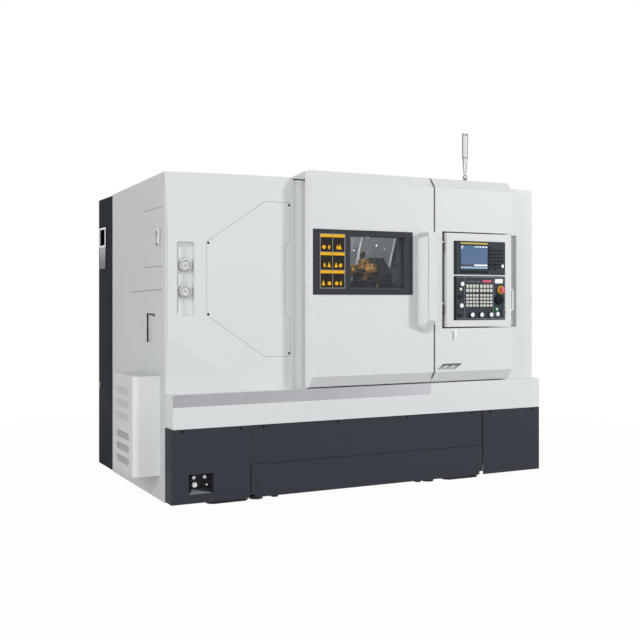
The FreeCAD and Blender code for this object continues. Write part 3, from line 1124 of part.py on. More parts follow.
def boring_holder():
    """Round boring-bar socket with a bar pointing to the chuck."""
    centre_z = turret_z + TURRET_RADIUS - 45
    body = block(TURRET_LEFT - 62, TURRET_LEFT, turret_y - 38, turret_y + 38, centre_z - 38, centre_z + 38)
    body = body.makeChamfer(14, edges_along(body, (1, 0, 0), lambda p: True))
    bar = [(-118, 0), (-118, 9), (-112, 12.5), (-74, 12.5), (-74, 27), (-60, 27), (-60, 0)]
    return fused([body, turned(bar, (TURRET_LEFT, turret_y, centre_z), (1, 0, 0), 12)])


rim = []
for index in range(TURRET_STATIONS):
    turn = math.radians((index + 0.5) * 360 / TURRET_STATIONS)
    reach = TURRET_RADIUS / math.cos(math.pi / TURRET_STATIONS)
    rim.append((turret_y + reach * math.sin(turn), turret_z + reach * math.cos(turn)))
disc_parts = [prism_x(rim, TURRET_LEFT, head_left)]
disc_parts.append(rod((TURRET_LEFT - 18, turret_y, turret_z), (1, 0, 0), 62, 18, 16))
disc_parts.append(rod((head_left, turret_y, turret_z), (1, 0, 0), shaft_radius, 50, 24))
for index in range(TURRET_STATIONS):
    holder = turning_holder() if index % 2 else boring_holder()
    disc_parts.append(around_turret(holder, 180 - SLANT + index * 360 / TURRET_STATIONS))
keep("turret_disc", fused(disc_parts))

screw_y, screw_z = slant(SCREW_S, SCREW_N)
SCREW_END = BED_RIGHT + 40
z_screw = rod((WAY_LEFT - 25, screw_y, screw_z), (1, 0, 0), SCREW_RADIUS, SCREW_END - WAY_LEFT + 25, 16)
keep("z_screw", z_screw)
flange = rod((BED_RIGHT, screw_y, screw_z), (1, 0, 0), 52, 40, 12)
flange = flange.cut(rod((BED_RIGHT - 1, screw_y, screw_z), (1, 0, 0), SCREW_RADIUS + 6, 60, 12))
servo = block(SCREW_END, SCREW_END + 150, screw_y - 62, screw_y + 62, screw_z - 62, screw_z + 62)
servo = servo.makeChamfer(16, edges_along(servo, (1, 0, 0), lambda p: True))
plug = block(SCREW_END + 100, SCREW_END + 135, screw_y - 18, screw_y + 18, screw_z + 62, screw_z + 92)
keep("z_motor", fused([flange, servo, plug]))


# ---------------------------------------------------------------------------
# Tailstock with quill and live centre
# ---------------------------------------------------------------------------

tail_points = [(TAIL_WAYS[0] + 5, way_top + RUN), (TAIL_WAYS[1] + TAIL_WAY_WIDTH + 5, way_top + RUN)]
tail_points += [(38, -200), (52, -30), (-52, 30), (-90, -40), (TAIL_WAYS[0] + 5, -270)]
tail = slant_prism(tail_points, TAIL_LEFT, TAIL_RIGHT)
tail = tail.fuse(slant_rod(TAIL_LEFT, TAIL_RIGHT, 0, 0, 58, 24)).removeSplitter()
tail = tail.cut(slant_bore(TAIL_LEFT - 1, TAIL_RIGHT - 20, 0, 0, QUILL_RADIUS + SHAFT_CLEARANCE, 24))
keep("tailstock", tail)
quill_left = TAIL_LEFT - QUILL_OUT
quill = slant_rod(quill_left, TAIL_RIGHT - 30, 0, 0, QUILL_RADIUS, 24)
quill = quill.cut(slant_bore(quill_left - 1, quill_left + 60, 0, 0, 12 + SHAFT_CLEARANCE, 12))
keep("quill", quill)
centre = [(-80, 0), (-42, 22), (-12, 22), (-12, 30), (-1, 30), (-1, 12), (55, 12), (55, 0)]
keep("live_centre", turned(centre, (quill_left, *spindle_at), (1, 0, 0), 16))


# ---------------------------------------------------------------------------
# Write every piece
# ---------------------------------------------------------------------------

for name, shape in pieces.items():
    shape.exportStep(f"parts/{name}.step")
print(len(pieces), "pieces")
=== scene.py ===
import bpy
import bmesh
import math
from mathutils import Matrix, Vector


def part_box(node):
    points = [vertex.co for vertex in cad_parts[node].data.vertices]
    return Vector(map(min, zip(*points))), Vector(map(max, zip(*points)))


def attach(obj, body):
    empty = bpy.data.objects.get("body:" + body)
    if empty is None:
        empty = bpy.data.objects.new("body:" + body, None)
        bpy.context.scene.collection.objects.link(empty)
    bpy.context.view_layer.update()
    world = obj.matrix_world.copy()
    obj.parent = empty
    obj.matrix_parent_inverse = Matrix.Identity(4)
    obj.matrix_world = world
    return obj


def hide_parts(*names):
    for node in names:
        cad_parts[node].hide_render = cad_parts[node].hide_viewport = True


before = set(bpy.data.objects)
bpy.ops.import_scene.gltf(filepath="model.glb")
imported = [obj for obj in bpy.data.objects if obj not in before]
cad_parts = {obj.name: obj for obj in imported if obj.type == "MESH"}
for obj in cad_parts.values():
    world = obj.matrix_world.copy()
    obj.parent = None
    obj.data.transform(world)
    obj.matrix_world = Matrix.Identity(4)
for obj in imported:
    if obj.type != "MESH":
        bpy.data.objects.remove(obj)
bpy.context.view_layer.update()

# ---------------------------------------------------------------------------
# Where things are.  The lathe's own measures are in metres from the left side
# (x), the skirt's front (y) and the floor (z); at() moves them to the frame.
# ---------------------------------------------------------------------------

LEFT_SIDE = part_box("side_panel")[0].x
SKIRT_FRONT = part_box("skirt_left")[0].y


def at(x, y, z):
    """Place in the frame for a place on the lathe, in metres."""
    return Vector((LEFT_SIDE + x, SKIRT_FRONT + y, z))


# ---------------------------------------------------------------------------
# Material making
# ---------------------------------------------------------------------------

class Signal:
    """A value inside a material that takes part in arithmetic."""

    def __init__(self, finish, socket):
        self.finish = finish
        self.socket = socket

    def _math(self, operation, first, second):
        return self.finish.node("ShaderNodeMath", {"operation": operation}, {0: first, 1: second})

    def __add__(self, other):
        return self._math("ADD", self, other)

    __radd__ = __add__

    def __sub__(self, other):
        return self._math("SUBTRACT", self, other)

    def __rsub__(self, other):
        return self._math("SUBTRACT", other, self)

    def __mul__(self, other):
        return self._math("MULTIPLY", self, other)

    __rmul__ = __mul__

    def __truediv__(self, other):
        return self._math("DIVIDE", self, other)

    def above(self, limit):
        return self._math("GREATER_THAN", self, limit)

    def below(self, limit):
        return self._math("LESS_THAN", self, limit)

    def larger(self, other):
        return self._math("MAXIMUM", self, other)

    def power(self, exponent):
        return self._math("POWER", self, exponent)

    def cycle(self, period):
        return self._math("FLOORED_MODULO", self, period)

    def size(self):
        return self._math("ABSOLUTE", self, 0.0)

    def ramp(self, low, high, start=0.0, end=1.0):
        """Smooth step from start to end as the value goes from low to high."""
        values = {"Value": self, 1: low, 2: high, 3: start, 4: end}
        return self.finish.node("ShaderNodeMapRange", {"interpolation_type": "SMOOTHSTEP"}, values)

    def between(self, low, high):
        return self.above(low) * self.below(high)


class Nodes:
    """A node tree that takes new nodes, each with its settings first and then its inputs."""

    def __init__(self, tree):
        self.tree = tree

    def node(self, kind, settings=(), values=(), output=0):
        made = self.tree.nodes.new(kind)
        for key, value in dict(settings).items():
            setattr(made, key, value)
        for key, value in dict(values).items():
            socket = made.inputs[key]
            if isinstance(value, Signal):
                self.tree.links.new(value.socket, socket)
            else:
                socket.default_value = value
        return Signal(self, made.outputs[output])

    def backdrop_ray(self):
        """1 for rays that see the white backdrop: from the camera, off gloss or through glass."""
        rays = [self.node("ShaderNodeLightPath", output=f"Is {kind} Ray")
                for kind in ("Camera", "Glossy", "Transmission")]
        return rays[0].larger(rays[1]).larger(rays[2])


class Finish(Nodes):
    """One procedural material round a Principled shader."""

    def __init__(self, name, colour, roughness=0.5, metallic=0.0, **fixed):
        self.material = bpy.data.materials.new(name)
        self.material.use_nodes = True
        super().__init__(self.material.node_tree)
        self.shader = self.tree.nodes["Principled BSDF"]
        self.shader.inputs["Base Color"].default_value = (*colour, 1.0)
        self.shader.inputs["Roughness"].default_value = roughness
        self.shader.inputs["Metallic"].default_value = metallic
        for socket, value in fixed.items():
            self.shader.inputs[socket.replace("_", " ")].default_value = value
        self.place = self.node("ShaderNodeTexCoord", output="Object")

    def axes(self):
        split = self.node("ShaderNodeSeparateXYZ", {}, {0: self.place})
        return [Signal(self, output) for output in split.socket.node.outputs]

    def noise(self, scale, stretch=(1, 1, 1), detail=3.0, rough=0.5):
        spread = self.node("ShaderNodeVectorMath", {"operation": "MULTIPLY"},
                           {0: self.place, 1: stretch})
        values = {"Vector": spread, "Scale": scale, "Detail": detail, "Roughness": rough}
        return self.node("ShaderNodeTexNoise", {}, values)

    def mix(self, amount, first, second):
        first = first if isinstance(first, Signal) else (*first, 1.0)
        second = second if isinstance(second, Signal) else (*second, 1.0)
        values = {"Factor": amount, 6: first, 7: second}
        return self.node("ShaderNodeMix", {"data_type": "RGBA"}, values, 2)

    def feed(self, socket, signal):
        self.tree.links.new(signal.socket, self.shader.inputs[socket])
        return self

    def relief(self, height, distance, strength=1.0):
        values = {"Height": height, "Distance": distance, "Strength": strength}
        return self.feed("Normal", self.node("ShaderNodeBump", {}, values))


def shade(colour, factor):
    """The same colour, lighter or darker."""
    return tuple(min(1.0, channel * factor) for channel in colour)


def worn_edge(finish, width):
    """Light line along sharp edges, from the bevelled against the true normal."""
    soft = finish.node("ShaderNodeBevel", {"samples": 4}, {"Radius": width})
    values = {0: soft, 1: finish.node("ShaderNodeNewGeometry", output="Normal")}
    agree = finish.node("ShaderNodeVectorMath", {"operation": "DOT_PRODUCT"}, values, 1)
    return agree.ramp(0.995, 0.86)


def powder_coat(name, colour, roughness=0.42, tone=0.03, gloss=0.45):
    """Sheet-metal paint: fine orange peel, faint cloudiness, handled patches."""
    finish = Finish(name, colour, roughness, Specular_IOR_Level=gloss)
    cloud = finish.noise(1.7, detail=4)
    speck = finish.noise(260.0, detail=2)
    finish.feed("Base Color",
                finish.mix(cloud * 0.7 + speck * 0.3, shade(colour, 1 - tone),
                           shade(colour, 1 + tone)))
    finish.feed("Roughness", cloud.ramp(0.3, 0.7, roughness - 0.05, roughness + 0.06))
    finish.relief(finish.noise(420.0, detail=1) + cloud * 0.4, 0.00006, 0.5)
    return finish


def brushed_metal(name, colour, along=0, roughness=0.34, line=0.10):
    """Metal with long fine scratches along one axis."""
    finish = Finish(name, colour, roughness, 1.0)
    stretch = [900.0, 900.0, 900.0]
    stretch[along] = 6.0
    grain = finish.noise(1.0, tuple(stretch), detail=3, rough=0.6)
    cloud = finish.noise(3.0)
    finish.feed("Base Color",
                finish.mix(grain * 0.7 + cloud * 0.3, shade(colour, 1 - line),
                           shade(colour, 1 + line)))
    finish.feed("Roughness", grain.ramp(0.3, 0.7, roughness - 0.06, roughness + 0.1))
    finish.relief(grain, 0.00004, 0.6)
    return finish


def turned_metal(name, colour, roughness=0.26):
    """Ground steel with an oil film and faint rings."""
    finish = Finish(name, colour, roughness, 1.0)
    rings = finish.node("ShaderNodeTexNoise", {"noise_dimensions": "1D"},
                        {"W": finish.axes()[0] * 1800.0, "Detail": 2.0})
    film = finish.noise(14.0, detail=4)
    finish.feed("Base Color", finish.mix(film, shade(colour, 0.82), shade(colour, 1.08)))
    finish.feed("Roughness", film.ramp(0.35, 0.7, roughness, roughness + 0.16))
    finish.relief(rings, 0.00003, 0.5)
    return finish


def casting(name, colour, roughness=0.55):
    """Machine grey over a sand casting, bare and bright along worked edges."""
    finish = Finish(name, colour, roughness, 0.35)
    sand = finish.noise(190.0, detail=5, rough=0.62)
    cloud = finish.noise(6.0, detail=4)
    edge = worn_edge(finish, 0.003)
    body = finish.mix(cloud, shade(colour, 0.8), shade(colour, 1.15))
    finish.feed("Base Color", finish.mix(edge * 0.7, body, (0.55, 0.55, 0.56)))
    finish.feed("Roughness", cloud.ramp(0.3, 0.7, roughness - 0.08, roughness + 0.1))
    finish.relief(sand, 0.0004, 0.7)
    return finish


def moulded(name, colour, roughness=0.45, grain=0.00006, **fixed):
    """Plastic with a fine spark-eroded grain."""
    finish = Finish(name, colour, roughness, **fixed)
    fine = finish.noise(1400.0, detail=2)
    cloud = finish.noise(9.0)
    finish.feed("Base Color",
                finish.mix(cloud * 0.5 + fine * 0.5, shade(colour, 0.9), shade(colour, 1.1)))
    finish.feed("Roughness", fine.ramp(0.3, 0.7, roughness - 0.05, roughness + 0.06))
    finish.relief(fine, grain, 0.6)
    return finish


def shaded_round(name, middle, edge, roughness, metallic):
    """Round part with painted shading: pale in the middle and darker towards its outline."""
    finish = Finish(name, middle, roughness, metallic)
    facing = finish.node("ShaderNodeLayerWeight", {}, {"Blend": 0.5}, 1)
    finish.feed("Base Color", finish.mix(facing.ramp(0.06, 0.5), middle, edge))
    finish.feed("Roughness", finish.noise(40.0).ramp(0.3, 0.7, roughness, roughness + 0.08))
    return finish


WHITE = (0.775, 0.800, 0.805)
# The side panels and louvred box get a darker copy of the front white: painted shade for faces
# turned from the key light.
SHADED_SIDE_WHITE = (0.650, 0.672, 0.676)
DARK = (0.040, 0.046, 0.058)
CABINET_DARK = (0.016, 0.020, 0.028)
GUARD_GREY = (0.060, 0.065, 0.075)

white_coat = powder_coat("white_powder_coat", WHITE)
shaded_side_coat = powder_coat("shaded_side_powder_coat", SHADED_SIDE_WHITE)
louver_coat = powder_coat("louver_powder_coat", shade(SHADED_SIDE_WHITE, 1.05))
dark_coat = powder_coat("dark_powder_coat", DARK, 0.6, 0.08, 0.12)
cabinet_coat = powder_coat("cabinet_powder_coat", CABINET_DARK, 0.7, 0.08, 0.05)
guard_coat = powder_coat("guard_grey_coat", GUARD_GREY, 0.38, 0.08)
stainless = brushed_metal("brushed_stainless", (0.378, 0.383, 0.407), 0, line=0.2)
upright_steel = brushed_metal("upright_brushed_steel", (0.62, 0.62, 0.63), 2)
ground_steel = turned_metal("ground_steel", (0.60, 0.60, 0.61))
bed_iron = casting("bed_iron", (0.20, 0.215, 0.225))
frame_black = moulded("window_frame_black", (0.035, 0.040, 0.051), 0.42, 0.00002,
                      Specular_IOR_Level=0.15)
notice_black = moulded("notice_black", (0.014, 0.011, 0.008), 0.45, 0.00002,
                       Specular_IOR_Level=0.15)
notice_yellow = moulded("notice_yellow", (0.98, 0.50, 0.012), 0.5, 0.00002, Specular_IOR_Level=0.1)
panel_dark = moulded("panel_dark", (0.022, 0.033, 0.044), 0.5, Specular_IOR_Level=0.22)
key_white = moulded("key_white", (0.70, 0.72, 0.66), 0.45)
knob_black = moulded("knob_black", (0.012, 0.012, 0.014), 0.36)
knob_cap = moulded("knob_cap_white", (0.80, 0.82, 0.82), 0.35)
stop_red = moulded("stop_red", (0.62, 0.018, 0.022), 0.28, 0.00001, Coat_Weight=0.4)
stop_mark = moulded("stop_mark", (0.80, 0.30, 0.30), 0.35)
collar_yellow = moulded("collar_yellow", (0.88, 0.60, 0.03), 0.4)
start_green = moulded("start_green", (0.03, 0.42, 0.14), 0.3)
chrome = turned_metal("polished_chrome", (0.78, 0.79, 0.80), 0.10)
belt_rubber = moulded("belt_rubber", (0.016, 0.016, 0.017), 0.75, 0.0002)
# Rubber black for seals, and for the painted shade in the console's hinge recess.
rubber_and_shade_black = moulded("rubber_and_shade_black", (0.012, 0.012, 0.013), 0.7, 0.0001)
screw_dark = turned_metal("blackened_screw", (0.045, 0.045, 0.05), 0.42)
dial_white = moulded("dial_white", (0.82, 0.83, 0.82), 0.5)
notice_line = moulded("notice_line", (0.34, 0.31, 0.27), 0.45)
band_yellow = moulded("display_band_yellow", (0.80, 0.56, 0.03), 0.45)
key_cream = moulded("key_cream", (0.80, 0.76, 0.60), 0.4, Emission_Strength=0.15,
                    Emission_Color=(1, 0.95, 0.8, 1))
key_lamp = moulded("key_lamp", (0.30, 0.36, 0.12), 0.35)
line_grey = moulded("line_grey", (0.33, 0.38, 0.42), 0.5)
# Mid grey for the gauges' inner slopes and the lamp case, and for painted shade on the gauge rims.
gauge_and_shade_grey = moulded("gauge_and_shade_grey", (0.36, 0.38, 0.39), 0.4)
# Grey for the painted shade along the gauge pocket's edges.
edge_shade_grey = moulded("edge_shade_grey", (0.44, 0.455, 0.46), 0.5)
# Near black for gauge cases, ticks and the door's edge strip, and for the painted shadow in the
# side pocket.
case_and_shade_grey = moulded("case_and_shade_grey", (0.075, 0.08, 0.085), 0.5)
latch_white = powder_coat("latch_white", (0.86, 0.88, 0.89), 0.3)
# Dark grey for seams and rubber lines, and for patches of painted shade.
seam_and_shade_grey = moulded("seam_and_shade_grey", (0.20, 0.215, 0.225), 0.7)
filter_pale = moulded("filter_pale", (0.64, 0.66, 0.665), 0.9, 0.0004)
lock_olive = moulded("lock_olive", (0.17, 0.145, 0.04), 0.5)
filter_grey = moulded("filter_grey", (0.27, 0.27, 0.265), 0.9, 0.0006)
pane_black = moulded("pane_black", (0.004, 0.004, 0.005), 0.6, 0.00001, Specular_IOR_Level=0.0)
inner_steel = brushed_metal("inner_brushed_steel", (0.50, 0.52, 0.55), 2, 0.6, 0.2)
drop_white = moulded("drop_white", (0.85, 0.86, 0.87), 0.2)
# Pale grey for the inner sheets' folded ends: painted highlight.
hem_highlight_grey = moulded("hem_highlight_grey", (0.56, 0.57, 0.58), 0.4)
crown_grey = shaded_round("crown_grey", (0.42, 0.44, 0.46), (0.08, 0.085, 0.09), 0.3, 0.4)
socket_grey = turned_metal("socket_grey", (0.34, 0.35, 0.37), 0.42)
ways_dark = casting("ways_dark", (0.036, 0.039, 0.045), 0.62)
# Whiter copy of the front paint for the post beside the door and the louvred box's front: painted
# light.
lit_front_white = powder_coat("lit_front_powder_coat", (0.93, 0.95, 0.955))
bright_steel = turned_metal("bright_steel", (0.72, 0.73, 0.75), 0.3)
dark_steel = turned_metal("dark_steel", (0.055, 0.058, 0.065), 0.35)
carbide_gold = turned_metal("carbide_gold", (0.62, 0.42, 0.10), 0.3)
cell_white = moulded("cell_white", (0.74, 0.76, 0.77), 0.35)
lamp_glow = moulded("lamp_glow", (0.9, 0.92, 0.95), 0.3, Emission_Strength=1.2,
                    Emission_Color=(1, 1, 1, 1))
foot_black = casting("foot_black", (0.03, 0.03, 0.033), 0.6)
window_red = moulded("window_red", (0.62, 0.06, 0.09), 0.3)


def bronze_tooling():
    """Gold-coloured tool blocks with an oil film and bright worn corners, on a dark disc, with
    painted shade on the lower blocks.
    """
    colour = (0.44, 0.235, 0.055)
    finish = Finish("bronze_tooling", colour, 0.3, 0.85)
    film = finish.noise(22.0, detail=5)
    edge = worn_edge(finish, 0.002)
    body = finish.mix(film, shade(colour, 0.55), shade(colour, 1.35))
    blocks = finish.mix(edge * 0.8, body, (0.80, 0.55, 0.22))
    disc_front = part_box("turret_disc")[1].x - 0.1405
    x, z = finish.axes()[::2]
    # Dark over the disc behind the blocks, and over the lower tool blocks as painted shade.
    dark = x.above(disc_front).larger(z.ramp(1.322, 1.306))
    finish.feed("Base Color", finish.mix(dark, blocks, (0.030, 0.032, 0.036)))
    finish.feed("Roughness", film.ramp(0.3, 0.7, 0.26, 0.48))
    finish.relief(finish.noise(300.0), 0.0001, 0.5)
    return finish


def door_paint():
    """White paint with a painted highlight on the folded left edge of the sliding door."""
    finish = powder_coat("door_powder_coat", WHITE)
    base = Signal(finish, finish.shader.inputs["Base Color"].links[0].from_socket)
    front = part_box("main_door")[0].y + 0.001
    fold = min(point.co.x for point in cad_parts["main_door"].data.vertices
               if point.co.y < front)
    # Paler beyond the fold: painted highlight where the bevel catches light.
    fold_highlight = finish.axes()[0].ramp(fold + 0.0004, fold + 0.0014)
    finish.feed("Base Color", finish.mix(fold_highlight, (0.97, 0.985, 0.99), base))
    return finish


tooling = bronze_tooling()
door_white = door_paint()


def clear(name, tint, strength, roughness=0.03, gloss=0.5):
    """Thin clear sheet: mostly see-through, with its own gloss."""
    finish = Finish(name, tint, roughness, Specular_IOR_Level=gloss)
    smear = finish.noise(5.0, detail=5)
    finish.feed("Alpha", smear.ramp(0.2, 0.9, strength, strength * 1.5))
    return finish


door_glass = clear("safety_glass", (0.20, 0.22, 0.25), 0.07, 0.03, 0.12)
gauge_glass = clear("gauge_glass", (0.85, 0.87, 0.88), 0.10)

lamp_silver = shaded_round("lamp_silver", (0.74, 0.76, 0.77), (0.10, 0.11, 0.12), 0.35, 0.3)
lamp_glass = shaded_round("lamp_glass", (0.90, 0.93, 0.96), (0.17, 0.19, 0.21), 0.2, 0.0)
# White with a faint glow though it is no lamp: painted light on the lever, knob caps, gauge rims,
# coupling caps and small plates.
glowing_white = moulded("glowing_white", (0.86, 0.87, 0.87), 0.35, Emission_Strength=0.12,
                      Emission_Color=(1, 1, 1, 1))
# Faint glow on the gauge pocket's floor: painted light in the recess.
glowing_pocket_white = moulded("glowing_pocket_white", WHITE, 0.45, Emission_Strength=0.20,
                       Emission_Color=(*WHITE, 1))
# Grey for the window reveal, lighter than the frame black: painted light on shaded recess walls.
lit_reveal_grey = moulded("lit_reveal_grey", (0.085, 0.095, 0.115), 0.6, Specular_IOR_Level=0.1)
# Black for small keys, screws and the handwheel, and for painted shade on the units' left edges and
# the skirt's fold.
black_and_shade = moulded("unit_black_and_shade", (0.008, 0.011, 0.014), 0.55, Specular_IOR_Level=0.1)

LOOKS = {
    white_coat: ["front_ledge", "headstock_guard", "access_cover", "roof_panel", "hood",
                 "door_handle", "right_panel", "end_cover", "rear_panel", "console_box"],
    shaded_side_coat: ["side_panel", "side_door"],
    louver_coat: ["louver_box"],
    glowing_white: ["console_lever"],
    lit_front_white: ["headstock_wall"],
    door_white: ["main_door"],
    dark_coat: ["skirt_left", "skirt_middle", "skirt_right", "spindle_motor", "z_motor"],
    cabinet_coat: ["electric_cabinet", "cabinet_door"],
    guard_coat: ["slant_guard"],
    stainless: ["wear_strip"],
    upright_steel: ["side_door_latch", "cabinet_handle", "air_couplings"],
    bed_iron: ["base_casting", "headstock"],
    ways_dark: ["saddle", "turret_slide", "tailstock"],
    ground_steel: ["spindle", "chuck_body", "chuck_jaw_1", "chuck_jaw_2", "chuck_jaw_3",
                   "motor_pulley", "z_screw", "quill", "live_centre"],
    tooling: ["turret_disc"],
    foot_black: ["leveling_feet"],
    frame_black: ["window_frame"],
    door_glass: ["window_glass"],
    notice_black: ["notice_plate"],
    panel_dark: ["display_unit", "key_panel"],
    knob_black: ["handwheel", "selector_knob_1", "selector_knob_2", "selector_knob_3"],
    stop_red: ["emergency_stop"],
    start_green: ["start_button"],
    knob_cap: ["stop_button"],
    chrome: ["pressure_gauges"],
    lamp_silver: ["lamp_stem"],
    belt_rubber: ["drive_belt"],
    lamp_glass: ["lamp_lens"],
}


def dress(obj, finish):
    """Give an object one finish."""
    obj.data.materials.clear()
    obj.data.materials.append(finish.material)


for look, names in LOOKS.items():
    for name in names:
        dress(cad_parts[name], look)

# ---------------------------------------------------------------------------
# Camera, light and floor
# ---------------------------------------------------------------------------

PHOTO_SIZE = 640
LENS_PIXELS = 960.3
SENSOR = 36.0
HORIZON_ROW = 299.0
CAMERA_AT = at(-1.6773, -5.1046, 1.1841)
CAMERA_TURN = math.radians(26.98)
WORLD_LEVEL = 0.445
FLOOR_GLOW = 0.975
FLOOR_REACH = 14.0
SHADOW_REACH = 1.9
FLOOR_FADE = 5.5


def make_camera():
    """Level camera at the photograph's height and angle; the shift puts the horizon in its row."""
    data = bpy.data.cameras.new("camera")
    data.sensor_width = SENSOR
    data.lens = LENS_PIXELS * SENSOR / PHOTO_SIZE
    data.shift_y = (HORIZON_ROW - PHOTO_SIZE / 2) / PHOTO_SIZE
    camera = bpy.data.objects.new("camera", data)
    bpy.context.scene.collection.objects.link(camera)
    camera.location = CAMERA_AT
    camera.rotation_euler = (math.radians(90), 0.0, -CAMERA_TURN)
    bpy.context.scene.camera = camera


def area_light(name, place, target, size, power):
    """White soft lamp that the camera doesn't see."""
    data = bpy.data.lights.new(name, "AREA")
    data.shape = "RECTANGLE"
    data.size, data.size_y = size
    data.energy = power
    light = bpy.data.objects.new(name, data)
    bpy.context.scene.collection.objects.link(light)
    light.visible_camera = False
    light.location = place
    light.rotation_euler = (Vector(target) - Vector(place)).to_track_quat("-Z", "Y").to_euler()


def make_world():
    """Even studio light, with plain white where the backdrop is seen."""
    world = bpy.data.worlds.new("studio")
    bpy.context.scene.world = world
    world.use_nodes = True
    studio = Nodes(world.node_tree)
    back = studio.tree.nodes["Background"]
    back.inputs["Color"].default_value = (1, 1, 1, 1)
    strength = studio.backdrop_ray().ramp(0.0, 1.0, WORLD_LEVEL, 1.0)
    studio.tree.links.new(strength.socket, back.inputs["Strength"])


def make_floor():
    """Pale floor that keeps the object's shadow and melts into the white backdrop."""
    mesh = bpy.data.meshes.new("floor")
    corners = [(a * FLOOR_REACH, b * FLOOR_REACH, 0) for a,
               b in ((-1, -1), (1, -1), (1, 1), (-1, 1))]
    mesh.from_pydata(corners, [], [(0, 1, 2, 3)])
    floor = bpy.data.objects.new("floor", mesh)
    bpy.context.scene.collection.objects.link(floor)
    finish = Finish("floor_paint", (0.62, 0.62, 0.62), 0.7)
    finish.feed("Roughness", finish.noise(3.0).ramp(0.3, 0.7, 0.62, 0.75))
    glow = finish.node("ShaderNodeEmission", {}, {"Strength": 1.0, "Color": (1, 1, 1, 1)})
    x, y = finish.axes()[:2]
    share = (x * x + y * y).power(0.5).ramp(SHADOW_REACH, FLOOR_FADE, FLOOR_GLOW, 1.0)
    paint = Signal(finish, finish.shader.outputs[0])
    blend = finish.node("ShaderNodeMixShader", {},
                        {0: finish.backdrop_ray() * share, 1: paint, 2: glow})
    finish.tree.links.new(blend.socket, finish.tree.nodes["Material Output"].inputs["Surface"])
    dress(floor, finish)


def make_lights():
    """A far key lamp on the right, soft fills, and the lathe's own work lamp."""
    middle = at(1.2, 0.6, 1.0)
    area_light("key", at(11.4, -8.2, 5.4), middle, (1.3, 1.3), 715)
    area_light("work_lamp", at(1.30, 0.19, 1.83), at(1.62, 0.80, 1.40), (0.5, 0.03), 9)
    area_light("right_fill", at(5.2, -4.2, 0.9), at(2.2, 0.0, 1.0), (1.6, 1.6), 15)
    area_light("left_fill", at(-4.5, -3.5, 2.6), middle, (3.0, 3.0), 118)
    area_light("top", at(1.2, 0.0, 5.2), middle, (4.0, 3.0), 12)


make_camera()
make_world()
make_lights()
make_floor()
bpy.context.scene.view_settings.view_transform = "Standard"


# ---------------------------------------------------------------------------
# Piece making, in millimetres from the left side, the skirt's front and the floor
# ---------------------------------------------------------------------------

INTO_FRAME = Matrix.Translation(at(0, 0, 0)) @ Matrix.Scale(0.001, 4)
AXES = {"x": lambda a, b, c: (c, a, b), "y": lambda a, b, c: (a, c, b), "z": lambda a, b,
        c: (a, b, c)}


